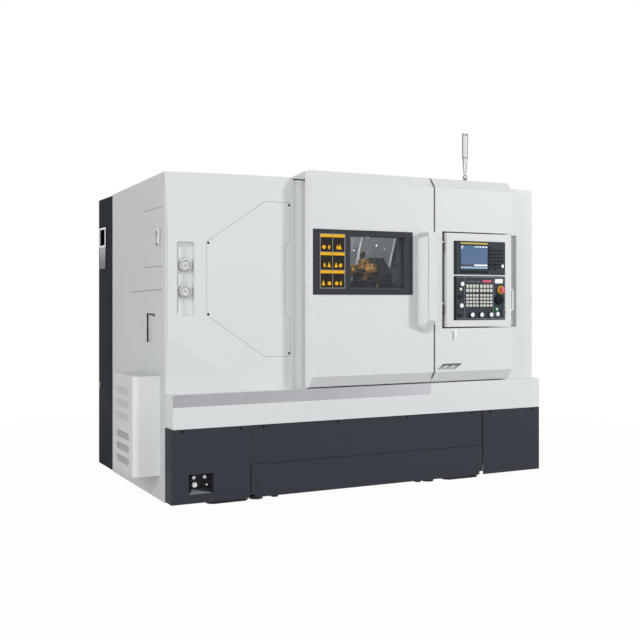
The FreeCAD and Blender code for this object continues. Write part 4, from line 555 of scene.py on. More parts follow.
class Work:
    """Faces that are gathered into one piece."""

    def __init__(self):
        self.faces = bmesh.new()

    def take(self, part, soft=0.0, steps=2):
        if soft:
            sharp = [edge for edge in part.edges if edge.calc_face_angle(0.0) > 0.4]
            bmesh.ops.bevel(part, geom=sharp, offset=soft, segments=steps, profile=0.7,
                            affect="EDGES")
        spare = bpy.data.meshes.new("spare")
        part.to_mesh(spare)
        part.free()
        self.faces.from_mesh(spare)
        bpy.data.meshes.remove(spare)
        return self

    def box(self, low, high, soft=1.0, steps=2):
        part = bmesh.new()
        bmesh.ops.create_cube(part, size=1.0)
        middle = (Vector(low) + Vector(high)) / 2
        size = Vector(high) - Vector(low)
        for corner in part.verts:
            corner.co = middle + corner.co * size
        return self.take(part, soft, steps)

    def prism(self, outline, near, far, axis="y", soft=1.0, steps=2):
        """Straight form between two places on an axis; outline has the other two coordinates."""
        part = bmesh.new()
        place = AXES[axis]
        rings = [[part.verts.new(place(a, b, c)) for a, b in outline] for c in (near, far)]
        part.faces.new(rings[0])
        part.faces.new(rings[1])
        for k in range(len(outline)):
            part.faces.new((rings[0][k - 1], rings[0][k], rings[1][k], rings[1][k - 1]))
        bmesh.ops.recalc_face_normals(part, faces=part.faces)
        return self.take(part, soft, steps)

    def turned(self, profile, centre, axis=(0, -1, 0), sides=40, turn=0.0):
        """Form turned about an axis from (along, radius) points."""
        part = bmesh.new()
        lean = Vector(axis).to_track_quat("Z", "Y")
        rings = []
        for along, radius in profile:
            count = sides if radius > 1e-6 else 1
            ring = []
            for k in range(count):
                angle = turn + 2 * math.pi * k / count
                spot = Vector((radius * math.cos(angle), radius * math.sin(angle), along))
                ring.append(part.verts.new(Vector(centre) + lean @ spot))
            rings.append(ring)
        for near, far in zip(rings, rings[1:]):
            for k in range(sides):
                corners = [near[k % len(near)], near[(k + 1) % len(near)]]
                corners += [far[(k + 1) % len(far)], far[k % len(far)]]
                corners = list(dict.fromkeys(corners))
                if len(corners) > 2:
                    part.faces.new(corners)
        for ring in (rings[0], rings[-1]):
            if len(ring) > 2:
                part.faces.new(ring)
        bmesh.ops.recalc_face_normals(part, faces=part.faces)
        return self.take(part)

    def frame(self, low, high, hole_low, hole_high, near, far, axis="y", soft=0.6):
        """Flat rim with a rectangular hole, from four mitred sides."""
        a0, b0 = low
        a1, b1 = high
        c0, d0 = hole_low
        c1, d1 = hole_high
        self.prism([(a0, b0), (a1, b0), (c1, d0), (c0, d0)], near, far, axis, soft, 1)
        self.prism([(a0, b1), (a1, b1), (c1, d1), (c0, d1)], near, far, axis, soft, 1)
        self.prism([(a0, b0), (a0, b1), (c0, d1), (c0, d0)], near, far, axis, soft, 1)
        self.prism([(a1, b0), (a1, b1), (c1, d1), (c1, d0)], near, far, axis, soft, 1)
        return self

    def rim(self, low, high, width, near, far, axis="y", soft=0.6):
        """Flat rim of one width inside a rectangle."""
        hole_low = [corner + width for corner in low]
        hole_high = [corner - width for corner in high]
        return self.frame(low, high, hole_low, hole_high, near, far, axis, soft)

    def spin(self, centre, axis, degrees):
        """Turn all that has been gathered so far."""
        turn = Matrix.Rotation(math.radians(degrees), 4, Vector(axis))
        middle = Matrix.Translation(Vector(centre))
        self.faces.transform(middle @ turn @ middle.inverted())
        return self

    def done(self, name, body, finish, slot=None, stands_for=(), smooth=35):
        self.faces.transform(INTO_FRAME)
        mesh = bpy.data.meshes.new(name)
        self.faces.to_mesh(mesh)
        self.faces.free()
        mesh.shade_smooth()
        mesh.set_sharp_from_angle(angle=math.radians(smooth))
        piece = bpy.data.objects.new(name, mesh)
        bpy.context.scene.collection.objects.link(piece)
        mesh.materials.append(finish.material)
        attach(piece, body)
        if stands_for:
            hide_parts(*stands_for)
        return piece


def screw_head(work, place, axis, radius=6.0, height=3.0):
    """Button head with a hexagon socket."""
    dome = [(-0.5, radius), (height * 0.5, radius), (height * 0.85, radius * 0.82),
            (height, radius * 0.55)]
    work.turned(dome + [(height * 0.35, radius * 0.5), (height * 0.35, 0)], place, axis, 18)


def screws(name, body, places, axis, finish, radius=6.0, height=3.0):
    """One piece of all the screws at the places."""
    work = Work()
    for place in places:
        screw_head(work, place, axis, radius, height)
    work.done(name, body, finish)


def corners_of(node):
    """Lowest and highest corner of a node in the same millimetres as the pieces."""
    low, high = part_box(node)
    shift = at(0, 0, 0)
    return [(corner - shift) * 1000 for corner in (Vector(low), Vector(high))]


def around(a, b, radius, degrees):
    """Two coordinates of a place at a distance and an angle from a centre."""
    angle = math.radians(degrees)
    return a + radius * math.cos(angle), b + radius * math.sin(angle)


def arc(a, b, radius, angles):
    """Places on a circle, at angles in degrees."""
    return [around(a, b, radius, degrees) for degrees in angles]


def round_outline(a0, a1, b0, b1, radius, steps=4):
    """Rectangle with rounded corners, as a list of two coordinates."""
    points = []
    for a, b, start in ((a1, b1, 0), (a0, b1, 90), (a0, b0, 180), (a1, b0, 270)):
        inward_a = a - radius if a == a1 else a + radius
        inward_b = b - radius if b == b1 else b + radius
        angles = [start + 90 * k / steps for k in range(steps + 1)]
        points += arc(inward_a, inward_b, radius, angles)
    return points


def disc_outline(a, b, radius, sides=18):
    """Circle as a list of two coordinates."""
    return arc(a, b, radius, [360 * k / sides for k in range(sides)])


def grown(outline, away):
    """Closed outline moved outward by a distance, corner by corner."""
    count = len(outline)
    area = sum(outline[k - 1][0] * outline[k][1] - outline[k][0] * outline[k - 1][1]
               for k in range(count))
    side = 1 if area > 0 else -1
    result = []
    for k in range(count):
        before, here, after = (Vector(outline[(k + turn) % count]) for turn in (-1, 0, 1))
        first, second = (here - before).normalized(), (after - here).normalized()
        normal = Vector((first.y + second.y, -first.x - second.x)) * side
        scale = away * 2 / max(normal.length_squared, 0.2)
        result.append(tuple(here + normal * scale))
    return result


def crescent(a, b, radius, shift, start, end, steps=14):
    """Sickle between an arc and the same arc moved along the second coordinate."""
    outer = arc(a, b, radius, [start + (end - start) * k / steps for k in range(steps + 1)])
    thick = [math.sin(math.pi * k / steps) * shift for k in range(steps + 1)]
    inner = [(x, y + lift) for (x, y), lift in zip(outer[1:-1], thick[1:-1])]
    return outer + inner[::-1]


# ---------------------------------------------------------------------------
# Sliding door: window plate, glass seal, notice plate, handle feet
# ---------------------------------------------------------------------------

def notice_fields():
    """Two columns of three dark fields, each with a plain yellow band and plain yellow shapes."""
    low, high = corners_of("notice_plate")
    face = low.y
    rim, gap = 4.0, 5.0
    wide = (high.x - low.x - 2 * rim - gap) / 2
    tall = (high.z - low.z - 2 * rim - 2 * gap) / 3
    lines, bands, shapes = Work(), Work(), Work()
    lines.rim((low.x, low.z), (high.x, high.z), rim, face - 0.3, face, soft=0)
    lines.box((low.x + rim + wide + 1, face - 0.3, low.z + rim),
              (low.x + rim + wide + gap - 1, face, high.z - rim), 0)
    for column in range(2):
        left = low.x + rim + column * (wide + gap)
        middle = left + wide / 2
        for row in range(3):
            base = low.z + rim + row * (tall + gap)
            bands.box((left, face - 0.4, base + tall - 17), (left + wide, face, base + tall), 0)
            if row < 2:
                lines.box((left, face - 0.3, base + tall + 1),
                          (left + wide, face, base + tall + gap - 1), 0)
            kind = column + 2 * row
            height = base + 26
            spots = ((-20, 20), (-14, 14), (-12, 18), (-18, 12), (-16, 18), (-8, 8))[kind]
            for index, shift in enumerate(spots):
                a = middle + shift
                if (kind + index) % 3 == 0:
                    outline = [(a - 12, height - 12), (a + 12, height - 12), (a, height + 20)]
                elif (kind + index) % 3 == 1:
                    outline = disc_outline(a, height, 12)
                else:
                    outline = [(a - 9, height), (a, height - 16), (a + 9, height), (a, height + 16)]
                shapes.prism(outline, face - 0.4, face, soft=0)
    lines.done("notice_lines", "sliding_door", notice_line)
    bands.done("notice_bands", "sliding_door", notice_yellow)
    shapes.done("notice_shapes", "sliding_door", notice_yellow)


def window_fittings():
    """Grey reveal round the glass, lighter than the frame black as painted light on its shaded
    recess walls, and a dark rim round the window plate.
    """
    low, high = corners_of("window_glass")
    plate_low, plate_high = corners_of("window_frame")
    seal = Work()
    seal.rim((low.x - 1, low.z - 1), (high.x + 1, high.z + 1), 2.5,
             plate_low.y + 0.6, low.y - 0.2, soft=0)
    # Grey strips over the dark glass seat along the top, right and foot: painted light.
    for low_corner, high_corner in (((low.x, high.z - 8.5), (high.x, high.z)),
                                    ((high.x - 8.5, low.z), (high.x, high.z)),
                                    ((low.x, low.z), (high.x, low.z + 8.5))):
        seal.box((low_corner[0], low.y - 2.4, low_corner[1]),
                 (high_corner[0], low.y - 0.2, high_corner[1]), 0)
    seal.done("window_reveal", "sliding_door", lit_reveal_grey)
    trim = Work()
    trim.rim((plate_low.x - 2, plate_low.z - 2), (plate_high.x + 2, plate_high.z + 2), 5,
             plate_low.y - 1.2, plate_low.y + 3, soft=0.8)
    trim.done("window_plate_edge", "sliding_door", frame_black)


def door_fittings():
    """Feet under the door handle and a rubber along the door's foot."""
    door_low, door_high = corners_of("main_door")
    handle_low, handle_high = corners_of("door_handle")
    feet = Work()
    for z in (handle_low.z + 8, handle_high.z - 6):
        feet.box((handle_low.x - 3, door_low.y - 1.5, z - 16),
                 (handle_high.x + 3, door_low.y + 0.5, z + 16), 1.2)
    feet.done("handle_feet", "sliding_door", white_coat)
    wipe = Work()
    wipe.box((door_low.x + 6, door_high.y - 9, door_low.z - 0.8),
             (door_high.x - 6, door_high.y - 4, door_low.z + 6), 0.6)
    wipe.done("door_foot_seal", "sliding_door", rubber_and_shade_black)


notice_fields()
window_fittings()
door_fittings()


# ---------------------------------------------------------------------------
# Console: screen, keys, switches, lines and plates on its face
# ---------------------------------------------------------------------------

console_low, console_high = corners_of("console_box")
display_low, display_high = corners_of("display_unit")
panel_low, panel_high = corners_of("key_panel")
UNIT_LEFT, UNIT_RIGHT = display_low.x, display_high.x
UNIT_WIDTH = UNIT_RIGHT - UNIT_LEFT
UNIT_PROUD = 5.0
KNOB_TALL = 7.0
BOX_FACE = console_low.y
UNIT_FACE = BOX_FACE - UNIT_PROUD
KEYS_BOTTOM, KEYS_TOP = panel_low.z, panel_high.z
DISPLAY_BOTTOM, DISPLAY_TOP = display_low.z, display_high.z


def across(share):
    """Left-right place at a share of the unit's width."""
    return UNIT_LEFT + share * UNIT_WIDTH


SCREEN = (across(0.1225), across(0.6525), DISPLAY_BOTTOM + 35, DISPLAY_TOP - 26)

# Controls: share of the unit's width, height above the key panel's foot
OVERRIDE_KNOBS = ((0.33, 33), (0.515, 33), (0.7025, 33))
SELECTOR_KNOBS = ((0.1425, 230), (0.1275, 92), (0.9525, 47))
MODE_SWITCHES = ((0.1125, 31), (0.1225, 150))
HANDWHEEL_PLACE = (0.8675, 130)
STOP_PLACE = (0.9125, 193)
START_PLACE = (0.82, 68)
HOLD_PLACE = (0.8475, 36)
LIT_KEY_PLACE = (0.1175, 197)
KNOB_FLUTES = 14
WHEEL_FLUTES = 44


def spot(place):
    """Left-right place and height of a control."""
    return across(place[0]), KEYS_BOTTOM + place[1]


def screen_finish():
    """Lit screen: blue field, pale bits along the top, a pale bar and soft-key fields below."""
    finish = Finish("screen_picture", (0.02, 0.03, 0.04), 0.22, Specular_IOR_Level=0.4)
    x, z = finish.axes()[::2]
    start = at(SCREEN[0] / 1000, 0, SCREEN[2] / 1000)
    across_screen = (x - start.x) / ((SCREEN[1] - SCREEN[0]) / 1000)
    up_screen = (z - start.z) / ((SCREEN[3] - SCREEN[2]) / 1000)
    weave = finish.noise(60.0, (1, 1, 1), 2)
    field = finish.mix(weave, (0.036, 0.086, 0.180), (0.050, 0.108, 0.215))
    title = up_screen.between(0.92, 0.965) * (across_screen * 9).cycle(1.0).between(0.12, 0.82)
    title = title * (across_screen.between(0.02, 0.10) + across_screen.between(0.5, 0.98))
    corner = up_screen.between(0.86, 0.90) * across_screen.between(0.02, 0.07)
    dark_bar = up_screen.between(0.12, 0.19) * across_screen.below(0.5)
    pale_bar = up_screen.between(0.13, 0.19) * across_screen.between(0.5, 0.98)
    soft_keys = up_screen.between(0.02, 0.09) * (across_screen * 10).cycle(1.0).between(0.08, 0.92)
    picture = finish.mix(dark_bar, field, (0.010, 0.014, 0.020))
    picture = finish.mix(soft_keys, picture, (0.30, 0.40, 0.58))
    picture = finish.mix(title + corner + pale_bar, picture, (0.86, 0.90, 0.95))
    finish.feed("Base Color", picture)
    finish.feed("Emission Color", picture)
    finish.shader.inputs["Emission Strength"].default_value = 0.35
    return finish


def display_pieces():
    """Screen, rims, band and small keys of the display unit."""
    face = UNIT_FACE
    glass = Work()
    glass.box((SCREEN[0] + 1, face + 0.6, SCREEN[2] + 1),
              (SCREEN[1] - 1, face + 1.9, SCREEN[3] - 1), 0.4, 1)
    glass.done("screen", "console", screen_finish())
    rim = Work()
    rim.rim((SCREEN[0] - 5, SCREEN[2] - 5), (SCREEN[1] + 5, SCREEN[3] + 5), 6,
            face - 1.2, face + 0.4, soft=0.5)
    rim.rim((UNIT_LEFT + 2, DISPLAY_BOTTOM + 2), (UNIT_RIGHT - 2, DISPLAY_TOP - 2), 5,
            face - 1.0, face + 0.4, soft=0.4)
    rim.done("display_rims", "console", panel_dark)
    band = Work()
    band.box((SCREEN[0], face - 0.8, SCREEN[3] + 9), (SCREEN[1], face + 0.2, SCREEN[3] + 17), 0.3,
             1)
    band.done("display_band", "console", band_yellow)
    small = Work()
    tall = SCREEN[3] - SCREEN[2]
    for row in range(9):
        z = SCREEN[2] - 4 + row * (tall + 4) / 9
        small.box((SCREEN[1] + 8, face - 3.6, z), (SCREEN[1] + 20, face + 0.2, z + 11), 0.8)
    for column in range(12):
        a = SCREEN[0] - 4 + column * (SCREEN[1] - SCREEN[0] + 8) / 12
        small.box((a, face - 3.2, DISPLAY_BOTTOM + 11), (a + 12, face - 1.8, DISPLAY_BOTTOM + 23),
                  0.6)
    small.done("display_small_keys", "console", black_and_shade)
    # Dark strip on each unit's face along its left edge: painted shade for the unit's side and its
    # shadow.
    edge = Work()
    for low_z, high_z in ((KEYS_BOTTOM, KEYS_TOP), (DISPLAY_BOTTOM, DISPLAY_TOP)):
        edge.prism(round_outline(UNIT_LEFT + 0.6, UNIT_LEFT + 15, low_z + 0.6, high_z - 0.6, 4),
                   face - 0.7, face + 0.2, soft=0)
    edge.done("unit_left_side_shade", "console", black_and_shade)
    port = Work()
    port.box((UNIT_RIGHT - 31, face - 4.6, DISPLAY_BOTTOM + 46),
             (UNIT_RIGHT - 13, face + 0.2, DISPLAY_BOTTOM + 66), 1.4)
    port.done("display_port_cover", "console", glowing_white)


def grid_places(x0, x1, z0, z1, columns, rows, gap):
    """Left, foot, width and height of each field of a grid."""
    wide = (x1 - x0 - gap * (columns - 1)) / columns
    high = (z1 - z0 - gap * (rows - 1)) / rows
    return [(x0 + c * (wide + gap), z0 + r * (high + gap), wide, high) for r in range(rows)
            for c in range(columns)]


def letter_keys():
    """Slate tops and dark lines on the small keys beside the screen, and four cursor keys below."""
    tops, lines, cursors = Work(), Work(), Work()
    places = grid_places(SCREEN[1] + 9, UNIT_RIGHT - 14, SCREEN[2] + 5, SCREEN[3] - 16, 5, 6, 4)
    bottom = places[0][1]
    for a, z, wide, high in places:
        if z < bottom + 1:
            continue
        tops.box((a + 0.8, UNIT_FACE - 3.0, z + 0.8),
                 (a + wide - 0.8, UNIT_FACE - 1.6, z + high - 0.8), 0.9)
        lines.box((a + 1.5, UNIT_FACE - 3.4, z + 1.0),
                  (a + wide - 1.5, UNIT_FACE - 2.8, z + high * 0.36), 0)
    middle_a, middle_z = places[2][0] + 2, bottom + 8
    for shift_a, shift_z in ((-22, 0), (22, 0), (0, 13), (0, -13), (-44, 11), (-44, -11)):
        a, z = middle_a + shift_a, middle_z + shift_z
        cursors.prism(round_outline(a - 8, a + 8, z - 5, z + 5, 2.5), UNIT_FACE - 3.4,
                      UNIT_FACE + 0.2, soft=0.6)
    tops.done("letter_key_tops", "console", panel_dark)
    lines.done("letter_key_lines", "console", black_and_shade)
    cursors.done("cursor_keys", "console", black_and_shade)


def machine_keys():
    """Pale caps with a small lamp window on the operator keys."""
    caps, lamps = Work(), Work()
    face = UNIT_FACE - 2
    for low, high, rows in ((178, 228, 2), (84, 166, 4)):
        for left, right in ((0.22, 0.467), (0.493, 0.74)):
            grid = grid_places(across(left), across(right), KEYS_BOTTOM + low, KEYS_BOTTOM + high,
                               4, rows, 5)
            for a, z, wide, tall in grid:
                caps.box((a + 1, face - 1.8, z + 1), (a + wide - 1, face + 0.1, z + tall - 1), 1.1)
                lamps.box((a + wide * 0.35, face - 2.0, z + tall * 0.70),
                          (a + wide * 0.65, face - 1.7, z + tall * 0.84), 0)
    caps.done("machine_key_caps", "console", key_white)
    lamps.done("machine_key_lamps", "console", key_lamp)


def knob(work_body, work_cap, a, z, rise, tall, radius=17.0):
    """Fluted black knob with a wide pale cap."""
    start = UNIT_FACE - rise
    skirt = [(0, 0), (0, radius), (1.5, radius), (2.5, radius - 1.0), (tall - 1, radius - 1.6),
             (tall, radius - 2.4)]
    work_body.turned(skirt + [(tall, 0)], (a, start, z), sides=36)
    for place in disc_outline(a, z, radius - 1.3, KNOB_FLUTES):
        work_body.prism(disc_outline(*place, 1.1, 6), start - tall + 0.6, start - 1.0, soft=0)
    work_cap.turned([(tall - 0.4, radius - 2.6), (tall + 1.2, radius - 3.4), (tall + 1.8, 0)],
                    (a, start, z), sides=32)


def rotary_switches():
    """Three override knobs, three selector knobs and two mode switches."""
    bodies, caps = Work(), Work()
    for place in OVERRIDE_KNOBS:
        knob(bodies, caps, *spot(place), 0.2, KNOB_TALL * 1.9)
    bodies.done("override_knobs", "console", knob_black)
    caps.done("override_knob_caps", "console", glowing_white)
    for number, place in enumerate(SELECTOR_KNOBS, 1):
        body, cap = Work(), Work()
        knob(body, cap, *spot(place), 1.0, KNOB_TALL)
        where = f"selector_knob_{number}"
        body.done(f"{where}_round", where, knob_black, stands_for=[where])
        cap.done(f"{where}_cap", where, glowing_white if number < 3 else knob_black)
    keys = Work()
    for place in MODE_SWITCHES:
        a, z = spot(place)
        keys.turned([(0, 0), (0, 14), (3, 14), (4, 12.5), (4, 0)], (a, UNIT_FACE, z), sides=36)
        keys.turned([(4, 9), (16, 8.4), (17, 7), (17, 0)], (a, UNIT_FACE, z), sides=32)
        keys.box((a - 2.2, UNIT_FACE - 21, z - 10), (a + 2.2, UNIT_FACE - 12, z + 10), 1.6)
    keys.done("mode_switches", "console", knob_black)


def dial_ticks(work, a, z, inner, outer, count, sweep, start, face):
    """Short radial lines round a centre, over an angle from a start."""
    for k in range(count):
        way = Vector(around(0, 0, 1, start + sweep * k / max(count - 1, 1)))
        side = Vector((-way.y, way.x)) * 0.45
        near, far = Vector((a, z)) + way * inner, Vector((a, z)) + way * outer
        work.prism([near - side, far - side, far + side, near + side], face - 0.25, face + 0.1,
                   soft=0)


def panel_lines():
    """Pale dividing lines, scales round the knobs and blank plates."""
    face = UNIT_FACE
    lines = Work()
    lines.rim((UNIT_LEFT + 6, KEYS_BOTTOM + 6), (UNIT_RIGHT - 6, KEYS_TOP - 6), 1.6,
              face - 0.25, face + 0.1, soft=0)
    for share in (0.195, 0.765):
        lines.box((across(share), face - 0.25, KEYS_BOTTOM + 8),
                  (across(share) + 1.4, face + 0.1, KEYS_TOP - 8), 0)
    for place in (*OVERRIDE_KNOBS, *SELECTOR_KNOBS[:2]):
        dial_ticks(lines, *spot(place), 19, 23, 11, 260, -40, face)
    dial_ticks(lines, *spot(HANDWHEEL_PLACE), 35, 38, 40, 351, 0, face)
    for column in range(6):
        a = across(0.24 + column * 0.045)
        lines.box((a, face - 0.25, KEYS_TOP - 36), (a + 11, face + 0.1, KEYS_TOP - 33), 0)
    lines.done("panel_lines", "console", line_grey)
    strip = Work()
    strip.box((across(0.545), face - 1.2, KEYS_TOP - 40),
              (across(0.725), face + 0.1, KEYS_TOP - 24), 0.6)
    strip.done("red_window", "console", window_red)
    plate = Work()
    plate.prism(round_outline(across(0.79) + 1, across(0.9525) - 1, KEYS_TOP - 44, KEYS_TOP - 16,
                              4), face - 2.2, face - 0.9, soft=0.4)
    plate.done("blank_plate", "console", glowing_white)
    lit = Work()
    a, z = spot(LIT_KEY_PLACE)
    lit.box((a - 8, face - 6.5, z - 8), (a + 8, face + 0.1, z + 8), 1.6)
    lit.done("lit_key", "console", key_cream)


def stop_button():
    """Red mushroom head with pale arrows on a yellow collar."""
    a, z = spot(STOP_PLACE)
    face = UNIT_FACE
    collar = Work()
    collar.turned([(0, 0), (0, 27), (4, 27), (8, 24.5), (9.2, 23), (9.2, 0)], (a, face, z),
                  sides=48)
    collar.done("stop_collar", "console", collar_yellow)
    start = face - 9 - 4.6
    head = Work()
    head.turned([(0, 0), (0, 15), (1, 20.4), (2.5, 22), (5.5, 22), (7.6, 20), (8.8, 15), (9.2, 8),
                 (9.2, 0)],
                (a, start, z), sides=48)
    head.turned([(-8, 0), (-8, 11), (0.5, 11), (0.5, 0)], (a, start, z), sides=32)
    head.done("emergency_stop_round", "emergency_stop", stop_red, stands_for=["emergency_stop"])
    arrows = Work()
    for tail in (0, 120, 240):
        bend = range(tail, tail + 56, 11)
        tip = around(a, z, 10.2, tail + 72)
        arrow = arc(a, z, 9.0, bend) + [tip] + arc(a, z, 11.4, bend)[::-1]
        arrows.prism(arrow, start - 9.3, start - 8.0, soft=0)
    arrows.done("stop_arrows", "emergency_stop", stop_mark)


def pulse_wheel():
    """Fluted handwheel with its crank grip."""
    a, z = spot(HANDWHEEL_PLACE)
    start = UNIT_FACE - 1
    wheel = Work()
    rim = [(0, 0), (0, 32.5), (1, 34), (7, 34), (9.5, 31), (11.5, 25), (12.5, 18), (12.8, 0)]
    wheel.turned(rim, (a, start, z), sides=56)
    for place in disc_outline(a, z, 33.6, WHEEL_FLUTES):
        wheel.prism(disc_outline(*place, 0.9, 5), start - 7.2, start - 0.8, soft=0)
    wheel.done("handwheel_round", "handwheel", black_and_shade, stands_for=["handwheel"])
    grip = Work()
    grip.turned([(8, 3.5), (11, 3.5), (11.5, 5.2), (19, 5.8), (21.5, 4.6), (22.5, 2.5), (22.5, 0)],
                (a + 23, start, z), sides=24)
    grip.done("handwheel_grip", "handwheel", black_and_shade)


def push_buttons():
    """Start and stop buttons with their rings."""
    buttons = (("start_button", START_PLACE, start_green, start_green),
               ("stop_button", HOLD_PLACE, glowing_white, chrome))
    for name, place, finish, ring_finish in buttons:
        a, z = spot(place)
        ring = Work()
        ring.turned([(0, 14), (2.2, 14), (3.4, 13), (3.4, 11.4), (0, 11.4)], (a, UNIT_FACE, z),
                    sides=36)
        ring.done(f"{name}_ring", "console", ring_finish)
        cap = Work()
        start = UNIT_FACE - 5
        cap.turned([(-9, 0), (-9, 5), (-1.6, 5), (-1.6, 10.6), (3.6, 10.6), (4.8, 9.6), (5.2, 8),
                    (5.3, 0)], (a, start, z), sides=36)
        cap.done(f"{name}_round", name, finish, stands_for=[name])
        if name == "start_button":
            middle = Work()
            middle.turned([(5.1, 6), (5.6, 5.6), (5.6, 0)], (a, start, z), sides=28)
            middle.done("start_button_lamp", name, glowing_white)


def console_box_fittings():
    """Corner screws, rear seal and rubber round the two units."""
    low, high = console_low, console_high
    right = UNIT_RIGHT + 59
    left = UNIT_LEFT - 66
    places = [(a, BOX_FACE + 0.2, z) for a in (left + 30, right - 30)
              for z in (low.z + 22, high.z - 22)]
    screws("console_screws", "console", places, (0, -1, 0), upright_steel, 5.0, 2.2)
    seal = Work()
    seal.rim((left + 4, low.z + 4), (right - 4, high.z - 4), 10,
             BOX_FACE + 90, BOX_FACE + 96, soft=1.0)
    seal.done("console_seal", "console", rubber_and_shade_black)
    unit = Work()
    for low_z, high_z in ((KEYS_BOTTOM, KEYS_TOP), (DISPLAY_BOTTOM, DISPLAY_TOP)):
        unit.rim((UNIT_LEFT - 1.5, low_z - 1.5), (UNIT_RIGHT + 1.5, high_z + 1.5), 1.9,
                 BOX_FACE - 1.6, BOX_FACE + 0.2, soft=0.3)
    unit.done("unit_seals", "console", rubber_and_shade_black)


display_pieces()
letter_keys()
machine_keys()
rotary_switches()
panel_lines()
stop_button()
pulse_wheel()
push_buttons()
console_box_fittings()


# ---------------------------------------------------------------------------
# Left end: gauges, pocket lining, couplings, hatch, louvred box, cabinet side
# ---------------------------------------------------------------------------

GAUGE_HEIGHTS = (1374.0, 1227.0)
GAUGE_LEFT = 107.0
POCKET_LOW = (52.0, 1090.0)
POCKET_HIGH = (156.0, 1508.0)
SERVICE_LOW = (0.0, 304.0, 928.0)
SERVICE_HIGH = (10.0, 468.0, 1100.0)
HATCH_FRONT, HATCH_REAR = 166.0, 536.0
HATCH_FOOT, HATCH_HEAD = 1372.0, 1707.0
LOUVER_BANDS = ((626, 670), (552, 596), (478, 522), (367, 411), (295, 339), (222, 266))
LOUVER_CORNER = 35.0
SPINDLE_AT = (430.0, 1040.0)
side_low, side_high = corners_of("side_panel")
guard_low, guard_high = corners_of("headstock_guard")
louver_low, louver_high = corners_of("louver_box")


def gauges():
    """Two round gauges in a pale pocket: deep case, white rim, inner ring, dial and needle."""
    pocket_back = guard_low.y + 45
    cases, rims, slopes, dials, ticks, needles = Work(), Work(), Work(), Work(), Work(), Work()
    glasses, painted_shades = Work(), Work()
    for index, height in enumerate(GAUGE_HEIGHTS):
        place = (GAUGE_LEFT, pocket_back, height)
        cases.turned([(1, 0), (1, 14), (5, 14), (6, 33), (9, 36.2), (25, 36.2), (25, 0)], place,
                     sides=56)
        rims.turned([(25, 36.8), (29, 36.8), (31.4, 35.2), (31.8, 33.4), (31.0, 31.6), (25, 31.6)],
                    place, sides=64)
        slopes.turned([(25.2, 31.8), (31.0, 31.8), (27.2, 24.6), (25.2, 24.6)], place, sides=56)
        dials.turned([(25.4, 24.8), (27.0, 24.8), (27.0, 0)], place, sides=48)
        face = pocket_back - 27.0
        dial_ticks(ticks, GAUGE_LEFT, height, 17.5, 22.5, 9, 270, -45, face)
        dial_ticks(ticks, GAUGE_LEFT, height, 20.0, 22.5, 41, 270, -45, face)
        way = Vector(around(0, 0, 1, 24 if index == 0 else -34))
        side = Vector((-way.y, way.x))
        middle = Vector((GAUGE_LEFT, height))
        needles.prism([middle - way * 8 - side * 2.4, middle + way * 19,
                       middle - way * 8 + side * 2.4],
                      face - 1.0, face - 0.4, soft=0)
        needles.turned([(27.0, 3.8), (29.4, 3.4), (29.4, 0)], place, sides=20)
        # Grey crescents below each rim and inside its top: painted shade.
        painted_shades.prism(crescent(GAUGE_LEFT, height, 37.6, 10.0, 190, 345), pocket_back - 31.9,
                     pocket_back - 24, soft=0)
        painted_shades.prism(crescent(GAUGE_LEFT, height, 31.0, -7.0, 75, 185), pocket_back - 31.2,
                     pocket_back - 26, soft=0)
        glasses.turned([(29.6, 31.6), (30.2, 31.6), (30.6, 20), (30.7, 0)], place, sides=48)
    cases.done("gauge_cases", "machine", case_and_shade_grey, stands_for=["pressure_gauges"])
    rims.done("gauge_rims", "machine", glowing_white)
    slopes.done("gauge_slopes", "machine", gauge_and_shade_grey)
    painted_shades.done("gauge_painted_shades", "machine", gauge_and_shade_grey)
    dials.done("gauge_dials", "machine", dial_white)
    ticks.done("gauge_ticks", "machine", case_and_shade_grey)
    needles.done("gauge_needles", "machine", knob_black)
    glasses.done("gauge_glasses", "machine", gauge_glass)
    low, high = POCKET_LOW, POCKET_HIGH
    # Glowing pale floor in the pocket: painted light where the recess would be shaded.
    floor = Work()
    floor.prism(round_outline(low[0] + 1, high[0] - 1, low[1] + 1, high[1] - 1, 11),
                pocket_back - 1.6, pocket_back - 0.4, soft=0)
    floor.done("gauge_pocket_floor", "machine", glowing_pocket_white)
    # Grey band along the pocket's left and top edges: painted shade.
    edge = Work()
    outer = round_outline(low[0] - 0.5, high[0], low[1], high[1] + 0.5, 14)
    inner = round_outline(low[0] + 7, high[0] - 4, low[1] + 3, high[1] - 6, 11)
    for k in range(4, 11):
        edge.prism([outer[k - 1], outer[k], inner[k], inner[k - 1]], guard_low.y - 0.25,
                   guard_low.y + 4, soft=0)
    edge.done("gauge_pocket_edge_shade", "machine", edge_shade_grey)


